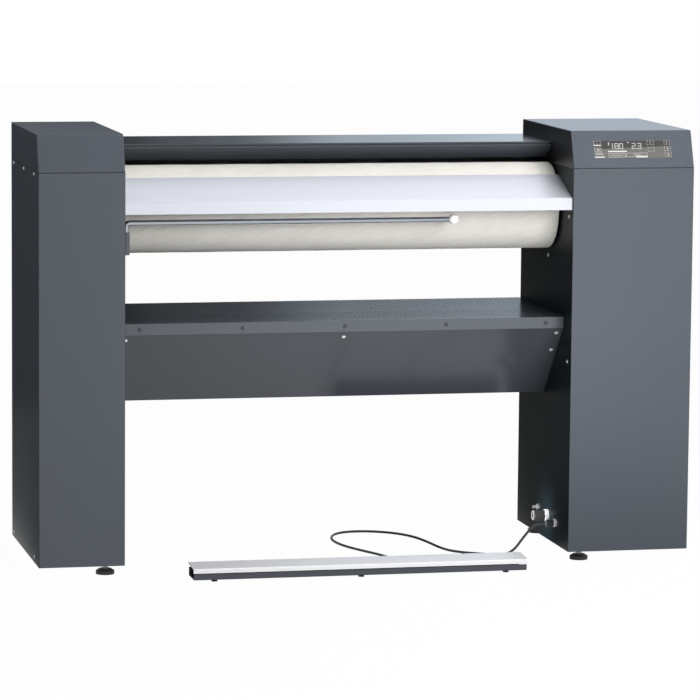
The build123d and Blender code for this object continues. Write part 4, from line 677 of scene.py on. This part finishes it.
def quilted_blanket():
    """An arc-shaped pad round the roller's axis, swung open about the trough's pivot.

    Each side's height above the stitch lines is the product of two rounded waves, one along X
    and one round the arc, so it is full between the lines and drawn in on them.
    """
    (x0, _, _), (x1, _, _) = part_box("trough_blanket")
    pivot = next(joint for joint in frame["joints"] if joint["name"] == "trough_lift")["pos_m"]
    arc = np.radians(np.linspace(*BLANKET_ARC, 61))
    columns = round((x1 - x0) / QUILT_PITCH)
    along = np.linspace(0, 1, columns * 8 + 1)
    x, t = np.meshgrid(x0 + along * (x1 - x0), arc, indexing="ij")
    share = (t - arc[0]) / (arc[-1] - arc[0])
    across = np.meshgrid(along, arc, indexing="ij")[0]
    waves = np.sin(across * columns * math.pi) * np.sin(share * QUILT_ROWS * math.pi)
    half = BLANKET_THICKNESS / 2
    height = half * (QUILT_STITCH + (1 - QUILT_STITCH) * np.abs(waves) ** QUILT_POWER)
    middle = ROLLER_RADIUS + BLANKET_GAP + half

    def closed(outside, inside, end=None):
        """Both sides in one ring, shut by a repeated first and last row."""
        ring = np.concatenate([outside, inside[:, ::-1]], axis=1)
        ends = [ring[:1], ring[-1:]] if end is None else [np.full_like(ring[:1], end)] * 2
        return np.concatenate([ends[0], ring, ends[1]])

    ring_t = closed(t, t)
    ring_r = closed(middle + height, middle - height, middle)
    y = ROLLER_AXIS[0] + ring_r * np.cos(ring_t) - pivot[1]
    z = ROLLER_AXIS[1] + ring_r * np.sin(ring_t) - pivot[2]
    turned_y = pivot[1] + y * math.cos(TROUGH_OPEN) - z * math.sin(TROUGH_OPEN)
    turned_z = pivot[2] + y * math.sin(TROUGH_OPEN) + z * math.cos(TROUGH_OPEN)
    return mesh_from_grid("insulation_quilt", closed(x, x), turned_y, turned_z, wrap=True)


quilt = quilted_blanket()
wool = grained("insulation cloth", (0.36, 0.34, 0.28), 0.95, grain=900.0, relief=0.9, drift=0.3)
settle(quilt, wool, "trough", "insulation", "trough_blanket")


# ---- Feed board and foot pedal --------------------------------------------------------------
# Anodised aluminium, ground along its length before the bath, so the grain runs along X.  The
# pedal's foot plate is a paler sheet of the same kind over a painted base.
STREAK_STRETCH = (6, 900, 900)
STREAK_SPREAD = 0.25


def brushed(name, colour, roughness, metallic):
    """Satin metal with fine streaks along X: a noise squeezed across the streaks' direction."""
    material, tree, shader = new_material(name, colour, roughness, metallic)
    place = add(tree, "ShaderNodeTexCoord").outputs["Object"]
    stretch = add(tree, "ShaderNodeMapping", {"Vector": place, "Scale": STREAK_STRETCH})
    streaks = add(tree, "ShaderNodeTexNoise", {"Vector": stretch.outputs["Vector"], "Scale": 1.0,
                                               "Detail": 4}).outputs["Fac"]
    bump = add(tree, "ShaderNodeBump", {"Strength": 0.05, "Distance": 0.0002, "Height": streaks})
    rough = ranged(tree, streaks, 0.0, 1.0, roughness * (1 - STREAK_SPREAD),
                   roughness * (1 + STREAK_SPREAD))
    feed(tree, shader, {"Roughness": rough, "Normal": bump.outputs["Normal"]})
    return material


dress(brushed("anodised aluminium", (0.75, 0.77, 0.84), 0.34, 0.5), "feed_board")
dress(brushed("foot plate", (0.95, 0.95, 0.97), 0.34, 0.25), "pedal_plate")
pedal_coat = grained("pedal base paint", (0.062, 0.070, 0.084), 0.4, grain=420.0, relief=0.12)
dress(pedal_coat, "pedal_base")

# The pedal's two leaf springs stand on the base's floor and bend down under the plate.
spring_steel = grained("spring steel", (0.42, 0.43, 0.45), 0.3, grain=900.0, relief=0.05,
                       metallic=1.0)
leaves = bpy.data.objects.new("leaf_springs", nodes["pedal_springs"].data.copy())
leaves.data.materials.clear()
scene.collection.objects.link(leaves)
settle(leaves, spring_steel, "machine", "steel", "pedal_springs")
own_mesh(leaves)


# ---- Shelf ----------------------------------------------------------------------------------
# Coated sheet folded down at the front, with staggered round perforations between plain margins.
SHELF_PAINT = (0.090, 0.101, 0.117)
SHELF_SHEET = 0.0015
SHELF_LIP = 0.0264
SHELF_LEVEL = 0.174
SHELF_RISE = 0.003
SHELF_MARGIN = 0.016
SHELF_FOLD = 0.001
HOLE_PITCH = 0.0145
HOLE_RADIUS = 0.0031
HOLE_SIDES = 12
HOLE_SHADE = 0.2
COAT_DEPTH = (0.00005, 0.0002)
LIP_DEPTH = (0.002, 0.004)
(shelf_left, shelf_front, lip_z), (shelf_right, shelf_back, _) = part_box("shelf_plate")
shelf_top = lip_z + SHELF_LIP
shelf_turn = shelf_front + SHELF_LEVEL


def shelf_height(y):
    """The top surface: level for SHELF_LEVEL behind the lip, then straight up to the back edge."""
    return shelf_top + SHELF_RISE * np.clip((y - shelf_turn) / (shelf_back - shelf_turn), 0, 1)


def perforated_shelf():
    """A honeycomb of six-sided cells, each with a round hole, inside four plain margins.

    The cells stand in columns along Y, every second one half a pitch further back.  The first
    and last columns are cut straight along the field's edge, and half cells without a hole close
    the columns' short ends.  A cell has twelve faces between hole and outline on the top, twelve
    on the underside and twelve in the hole.  The margins and the lip are strips of the same sheet.
    """
    left, right = shelf_left + SHELF_MARGIN, shelf_right - SHELF_MARGIN
    near, far = shelf_front + SHELF_MARGIN, shelf_back - SHELF_MARGIN
    rows = int((far - near) / HOLE_PITCH)
    pitch = (far - near) / (rows + 0.5)
    columns = int((right - left) / (HOLE_PITCH * math.sqrt(3) / 2))
    reach = (right - left) / (1.5 * columns - 0.5)
    row, column = np.meshgrid(np.arange(rows), np.arange(columns), indexing="ij")
    centre_x = left + reach * (0.5 + 1.5 * column)
    centre_y = near + pitch * (row + 0.5 + 0.5 * (column % 2))
    centre = np.stack([centre_x.ravel(), centre_y.ravel()], axis=-1)[:, None, :]
    k = np.arange(HOLE_SIDES)
    around = k * 2 * np.pi / HOLE_SIDES
    spoke = np.stack([np.cos(around), np.sin(around)], axis=-1)[None]
    to_side = np.where(k % 2, math.cos(math.pi / 6), 1.0)[None, :, None]
    outer = centre + spoke * to_side * np.array([reach, pitch / math.sqrt(3)])
    outer[..., 0] = np.clip(outer[..., 0], left, right)
    ring = np.concatenate([outer, centre + spoke * HOLE_RADIUS], axis=1)

    def sheet(flat, faces):
        """Flat outlines carried to the top surface and the underside, with these faces each."""
        upper = np.concatenate([flat, shelf_height(flat[..., 1:])], axis=-1)
        points = np.concatenate([upper, upper - np.array([0, 0, SHELF_SHEET])], axis=1)
        count = points.shape[1]
        return (points.reshape(-1, 3),
                (faces[None] + count * np.arange(len(points))[:, None, None]).reshape(-1, 4))

    n = (k + 1) % HOLE_SIDES
    step = HOLE_SIDES
    cell_faces = np.concatenate([
        np.stack([k, n, n + step, k + step], axis=-1),
        np.stack([k + 2 * step, k + 3 * step, n + 3 * step, n + 2 * step], axis=-1),
        np.stack([k + step, n + step, n + 3 * step, k + 3 * step], axis=-1)])
    every = np.arange(columns)
    middle = left + reach * (0.5 + 1.5 * every)
    late = (every % 2 == 1)[:, None]
    half_x = middle[:, None] + reach * np.where(late, [-1, 1, 0.5, -0.5], [-0.5, 0.5, 1, -1])
    half_y = np.where(late, [near, near, near + pitch / 2, near + pitch / 2],
                      [far - pitch / 2, far - pitch / 2, far, far])
    halves = np.stack([np.clip(half_x, left, right), half_y], axis=-1)
    half_faces = np.array([[0, 1, 2, 3], [7, 6, 5, 4]])
    pieces = [sheet(ring, cell_faces), sheet(halves, half_faces)]

    def strip(xs, outline):
        """A closed outline in (y, z), carried straight between two places along X."""
        loop = np.array(outline)
        count = len(loop)
        ends = np.concatenate([np.column_stack([np.full(count, x), loop]) for x in xs])
        i = np.arange(count)
        j = (i + 1) % count
        pieces.append((ends, np.stack([i, i + count, j + count, j], axis=-1)))

    def slab(xs, ys):
        """A margin's top, edges and underside between two places along Y."""
        heights = shelf_height(np.array(ys))
        strip(xs, [(ys[0], heights[0]), (ys[1], heights[1]),
                   (ys[1], heights[1] - SHELF_SHEET), (ys[0], heights[0] - SHELF_SHEET)])

    inside_y, inside_z = shelf_front + SHELF_SHEET, shelf_top - SHELF_SHEET
    strip((shelf_left, shelf_right),
          [(near, shelf_top), (near, inside_z), (inside_y, inside_z), (inside_y, lip_z),
           (shelf_front, lip_z)]
          + [(shelf_front + SHELF_FOLD * (1 - math.cos(a)),
              shelf_top - SHELF_FOLD * (1 - math.sin(a))) for a in np.linspace(0, math.pi / 2, 5)])
    slab((shelf_left, shelf_right), (far, shelf_back))
    for xs in ((shelf_left, left), (right, shelf_right)):
        slab(xs, (near, shelf_turn))
        slab(xs, (shelf_turn, far))
    start = np.cumsum([0] + [len(part) for part, _ in pieces[:-1]])
    all_points = np.concatenate([part for part, _ in pieces])
    all_faces = np.concatenate([face + first for (_, face), first in zip(pieces, start)])
    return mesh_piece("perforated_shelf", all_points, all_faces, False)


def shelf_finish():
    """Smooth dark coat, with painted shade sunk to HOLE_SHADE on the walls of the holes.

    Depth is the top surface's height, found from Y, less Z.  The walls are what lies deeper than
    COAT_DEPTH below the top and above the underside, and the lip in front is left out by its Y.
    """
    material, tree, shader = new_material("shelf paint", SHELF_PAINT, 0.2)
    skin = surface(tree, SHELF_PAINT, 0.2, grain=420.0, relief=0.08, drift=0.05)
    parts = object_place(tree)[1]
    height = ranged(tree, parts["Y"], shelf_turn, shelf_back, shelf_top, shelf_top + SHELF_RISE)
    depth = maths(tree, "SUBTRACT", height, parts["Z"])
    # Painted shade: the holes' walls are darkened so that the perforations show as a dark hatch.
    painted_hole_shade = ranged(tree, depth, *COAT_DEPTH, 1.0, HOLE_SHADE)
    under = ranged(tree, depth, SHELF_SHEET - COAT_DEPTH[1], SHELF_SHEET - COAT_DEPTH[0])
    lip = ranged(tree, parts["Y"], *[shelf_front + past for past in LIP_DEPTH], 1.0, 0.0)
    coat(tree, shader, skin, scaled(tree, skin["Colour"], largest(tree, painted_hole_shade, under, lip)))
    return material


settle(perforated_shelf(), shelf_finish(), "machine", "heater_cover_paint", "shelf_plate")


# ---- Laundry rod and small fittings ---------------------------------------------------------
# Chromed steel rod with a white ball knob, in a grey moulded socket on the left wall.  Visible
# screws, nuts and the bonding stud are nickel-plated, and those in the shelf's lip are blackened.
chrome = grained("chrome", (0.50, 0.53, 0.58), 0.12, grain=1500.0, relief=0.01, drift=0.1,
                 metallic=1.0)
dress(chrome, "laundry_rod")
white_plastic = grained("white knob", (0.92, 0.92, 0.90), 0.25, grain=900.0, relief=0.02)
dress(white_plastic, "rod_knob")
grey_plastic = grained("grey plastic", (0.085, 0.096, 0.110), 0.3, grain=900.0, relief=0.1)
dress(grey_plastic, "rod_holder")
black_plastic = grained("black plastic", (0.022, 0.024, 0.027), 0.42, grain=800.0, relief=0.2)
dress(black_plastic, "pedal_switch")
dark_screws = grained("blackened steel", (0.045, 0.050, 0.058), 0.35, grain=900.0, relief=0.05)
dress(dark_screws, "lip_screws")
nickel = grained("nickel plate", (0.90, 0.91, 0.93), 0.3, grain=1200.0, relief=0.03, metallic=0.6)
dress(nickel, "foot_nuts", "bonding_stud", "cover_screws")


# ---- Cable glands ---------------------------------------------------------------------------
# Moulded cap nuts with flutes for the fingers and a paler seal in the mouth, over bright lock
# rings that clamp them to the wall.  Each has its ring's length, thread, bore and flutes.
GLANDS = {"mains_gland": ("mains_cap", 0.009, 0.0115, 0.009, 18),
          "pedal_gland": ("pedal_cable_cap", 0.007, 0.007, 0.0031, 14)}
FLUTE_DEPTH = 0.0007
FLUTE_START = 0.004
FLUTE_END = 0.0012
SEAL_DEPTH = 0.0022
SEAL_SOLID = 0.8
GLAND_COLOUR = (0.040, 0.041, 0.043)
SEAL_COLOUR = (0.20, 0.20, 0.20)


def fluted_gland(node, name, ring, thread, bore, flutes):
    """The gland's outline turned round its axis, from the thread's end to the mouth and back.

    Along the cap the radius is cut by FLUTE_DEPTH times a fourth-power wave, so that narrow
    grooves stay between broad ribs; the grooves run out towards the cap's two ends.
    """
    (x0, y0, z0), (x1, y1, z1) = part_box(node)
    body = (z1 - z0) / 2
    cap_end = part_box("gland_rings")[1][0] - ring
    run = np.linspace(x0 + FLUTE_START, cap_end - FLUTE_END, 12)
    outline_x = np.concatenate([[x1, x1, cap_end, cap_end, cap_end - 0.0006], run[::-1],
                                [x0 + 0.002, x0 + 0.0007, x0, x0, x0 + 0.003, x0 + 0.003, x1]])
    outline_r = np.concatenate([[bore, thread, thread, body - 0.0006, body], np.full(12, body),
                                [body - 0.0012, body - 0.0028, body - 0.0036, bore + 0.0008,
                                 bore + 0.0004, bore, bore]])

    def grooved(x, t, r):
        """The radius less the grooves."""
        from_end = np.minimum(x - (x0 + FLUTE_START), cap_end - FLUTE_END - x)
        depth = FLUTE_DEPTH * np.clip(from_end / 0.002 + 0.4, 0, 1) * (r > body - 0.0001)
        return r - depth * np.cos(t * flutes / 2) ** 4

    return turned(name, outline_x, outline_r, flutes * 8, ((y0 + y1) / 2, (z0 + z1) / 2), grooved)


def gland_finish(name, mouth):
    """Black moulding, paler on the seal: the mask is 1 up to SEAL_DEPTH behind the mouth."""
    material, tree, shader = new_material(name, GLAND_COLOUR, 0.4)
    skin = surface(tree, GLAND_COLOUR, 0.4, grain=900.0, relief=0.2, drift=0.2)
    seal = ranged(tree, object_place(tree)[1]["X"], mouth + SEAL_DEPTH * SEAL_SOLID,
                  mouth + SEAL_DEPTH, 1.0, 0.0)
    coat(tree, shader, skin, mixed(tree, seal, skin["Colour"], (*SEAL_COLOUR, 1)))
    return material


for node, (name, *shape) in GLANDS.items():
    settle(fluted_gland(node, name, *shape), gland_finish(name + " moulding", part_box(node)[0][0]),
           "machine", "black_plastic", node)
ring_plate = grained("satin nickel", (0.93, 0.93, 0.95), 0.4, grain=1200.0, relief=0.05,
                     metallic=0.3)
dress(ring_plate, "gland_rings")


# ---- Levelling feet -------------------------------------------------------------------------
# Zinc-plated stud moulded into a black pad, which stands on the floor.
FOOT_PAD_TOP = 0.0132
PAD_COLOUR = (0.018, 0.019, 0.021)
STUD_COLOUR = (0.62, 0.63, 0.64)
THREAD_PITCH = 0.0035
WAVE_RADIANS = 20


def foot_finish():
    """Black plastic below the pad's top, zinc above it, with the thread as a bump on the stud.

    The mask is the height's step at FOOT_PAD_TOP; the thread is a wave of THREAD_PITCH along Z.
    """
    material, tree, shader = new_material("levelling foot", PAD_COLOUR, 0.5)
    place, parts = object_place(tree)
    above = maths(tree, "GREATER_THAN", parts["Z"], FOOT_PAD_TOP)
    thread = add(tree, "ShaderNodeTexWave",
                 {"Vector": place, "Scale": 2 * math.pi / (WAVE_RADIANS * THREAD_PITCH)},
                 bands_direction="Z", wave_profile="TRI").outputs["Fac"]
    bump = add(tree, "ShaderNodeBump", {"Distance": 0.0006,
                                        "Height": maths(tree, "MULTIPLY", thread, above)})
    feed(tree, shader, {"Base Color": mixed(tree, above, (*PAD_COLOUR, 1), (*STUD_COLOUR, 1)),
                        "Metallic": above, "Normal": bump.outputs["Normal"]})
    return material


dress(foot_finish(), "foot_front_left", "foot_front_right", "foot_back_left", "foot_back_right")


# ---- Display --------------------------------------------------------------------------------
# Smoked window in the right hood's slope, with plain lit figures, a bar and touch-key outlines
# printed on its face.
WINDOW_THICKNESS = 0.002
HOOD_SLOPE = (0.033, 0.086)
INK_LIFT = 0.00008
FIELD_LEAN = 0.036
FIELD_LIFT = 0.0045
FIELD_EDGE = 0.0008
UPPER_TINT = (0.058, 0.055, 0.054)
# The lower tint is a painted reflection on the window.
LOWER_REFLECTION_TINT = (0.135, 0.132, 0.126)
SEGMENTS = {"0": "abcdef", "1": "bc", "2": "abged", "3": "abgcd", "8": "abcdefg"}
STROKE = 1.3
FIGURE_FOOT, FIGURE_TOP = 1.5, 15.1
glass_low, glass_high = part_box("display_window")
glass_middle = [(a + b) / 2 for a, b in zip(glass_low, glass_high)]


def smoked_window():
    """Dark taupe pane, whose lower field is made paler by a painted reflection below a slightly
    rising line.

    The field's edge is where Z, less FIELD_LEAN times X, passes FIELD_LIFT above the middle.
    """
    material, tree, shader = new_material("display window", UPPER_TINT, 0.18)
    parts = object_place(tree)[1]
    lean = maths(tree, "MULTIPLY_ADD", parts["X"], -FIELD_LEAN, parts["Z"])
    edge = glass_middle[2] + FIELD_LIFT - FIELD_LEAN * glass_middle[0]
    # Painted reflection: the paler lower field stands for the window's reflection of its
    # surroundings.
    reflection_field = ranged(tree, lean, edge - FIELD_EDGE, edge + FIELD_EDGE)
    feed(tree, shader, {"Base Color": mixed(tree, reflection_field, (*LOWER_REFLECTION_TINT, 1), (*UPPER_TINT, 1))})
    return material


def printed_marks(name, boxes):
    """Flat rectangles on the window, given by their left, right, lower and upper edges in mm.

    A place on the window is its middle, plus so much along X and so much up the slope, lifted
    off the glass by the ink's thickness.
    """
    run, rise = HOOD_SLOPE
    length = math.hypot(run, rise)
    across = np.array([1.0, 0, 0])
    upward = np.array([0, run, rise]) / length
    outward = np.array([0, -rise, run]) / length
    middle = np.array(glass_middle) + outward * (INK_LIFT + WINDOW_THICKNESS / 2)
    edges = np.array(boxes) / 1000
    corners = edges[:, [[0, 2], [1, 2], [1, 3], [0, 3]]]
    points = middle + corners[..., :1] * across + corners[..., 1:] * upward
    faces = np.arange(points.shape[0] * 4).reshape(-1, 4)
    return mesh_piece(name, points.reshape(-1, 3), faces, False)


def figure(sign, x, width):
    """The bars of a seven-bar figure that are lit for this sign."""
    y, top = FIGURE_FOOT, FIGURE_TOP
    half_way = (y + top) / 2
    right_x = x + width
    bars = {"a": (x, right_x, top - STROKE, top), "d": (x, right_x, y, y + STROKE),
            "g": (x, right_x, half_way - STROKE / 2, half_way + STROKE / 2),
            "b": (right_x - STROKE, right_x, half_way, top),
            "c": (right_x - STROKE, right_x, y, half_way),
            "f": (x, x + STROKE, half_way, top), "e": (x, x + STROKE, y, half_way)}
    return [bars[name] for name in SEGMENTS[sign]]


def outline(x0, x1, y0, y1, line):
    """The four bars of a frame."""
    return [(x0, x1, y1 - line, y1), (x0, x1, y0, y0 + line), (x0, x0 + line, y0, y1),
            (x1 - line, x1, y0, y1)]


def dashes(x0, x1, y0, y1, line):
    """A dashed frame: three short bars along each side."""
    step_x = (x1 - x0) / 5
    step_y = (y1 - y0) / 5
    flat = [(x0 + i * step_x, x0 + (i + 1) * step_x, y, y + line) for i in (0, 2, 4)
            for y in (y0, y1 - line)]
    tall = [(x, x + line, y0 + i * step_y, y0 + (i + 1) * step_y) for i in (0, 2, 4)
            for x in (x0, x1 - line)]
    return flat + tall


bright = (figure("1", -50.5, 2.2) + figure("8", -43.5, 9.5) + figure("0", -31.5, 8.5)
          + figure("2", -1.5, 9.0) + [(9.3, 11.2, 1.5, 3.4)] + figure("3", 12.6, 9.0)
          + [(-60.5, -14.5, -5.9, -2.9), (-94.0, -76.0, 9.2, 11.8), (-93.5, -69.5, -19.6, -16.8),
             (6.5, 35.0, -19.6, -16.4), (-58.8, -56.8, 10.5, 17.5)])
soft = (dashes(-95.0, -76.0, 13.5, 21.0, 1.2) + outline(-93.0, -76.0, -6.0, 4.5, 1.3)
        + [(-87.5, -81.0, -2.5, 1.5), (-92.5, -72.0, -9.5, -8.0), (-92.5, -72.0, -13.0, -11.4)]
        + outline(-59.5, -18.5, -19.0, -8.5, 1.3) + [(-54.0, -24.0, -14.5, -12.8)]
        + outline(-17.0, 2.5, -18.5, -8.5, 1.0) + outline(4.5, 35.5, -15.5, -8.0, 1.2)
        + [(6.0, 18.0, -13.0, -11.6), (-12.5, -7.5, 16.0, 18.5)]
        + dashes(35.5, 52.5, 11.0, 21.5, 1.3) + [(43.0, 45.0, 14.5, 18.5)]
        + dashes(37.0, 53.0, -5.5, 5.5, 1.3)
        + dashes(77.0, 92.0, 11.5, 21.5, 1.3) + [(83.5, 85.5, 14.5, 18.5)]
        + dashes(77.0, 93.5, -4.5, 6.5, 1.4) + [(84.0, 86.5, -1.5, 3.5)]
        + dashes(77.5, 94.5, -18.5, -8.0, 1.4) + [(85.0, 88.0, -16.0, -10.5)])


def lit_ink(name, colour, glow):
    """Ink with a soft light of its own, speckled by a tenth with a fine noise."""
    material, tree, shader = new_material(name, colour, 0.5)
    place = add(tree, "ShaderNodeTexCoord").outputs["Object"]
    speckle = add(tree, "ShaderNodeTexNoise", {"Vector": place, "Scale": 2500}).outputs["Fac"]
    tint = mixed(tree, speckle, (*[value * 0.9 for value in colour], 1), (*colour, 1))
    feed(tree, shader, {"Base Color": tint, "Emission Color": tint, "Emission Strength": glow})
    return material


dress(smoked_window(), "display_window")
settle(printed_marks("display_figures", bright), lit_ink("lit figures", (0.50, 0.50, 0.48), 0.35),
       "machine", "white_plastic")
settle(printed_marks("display_marks", soft), lit_ink("printed marks", (0.36, 0.36, 0.35), 0.1),
       "machine", "white_plastic")
dress(grained("circuit board", (0.02, 0.12, 0.06), 0.5), "control_board")
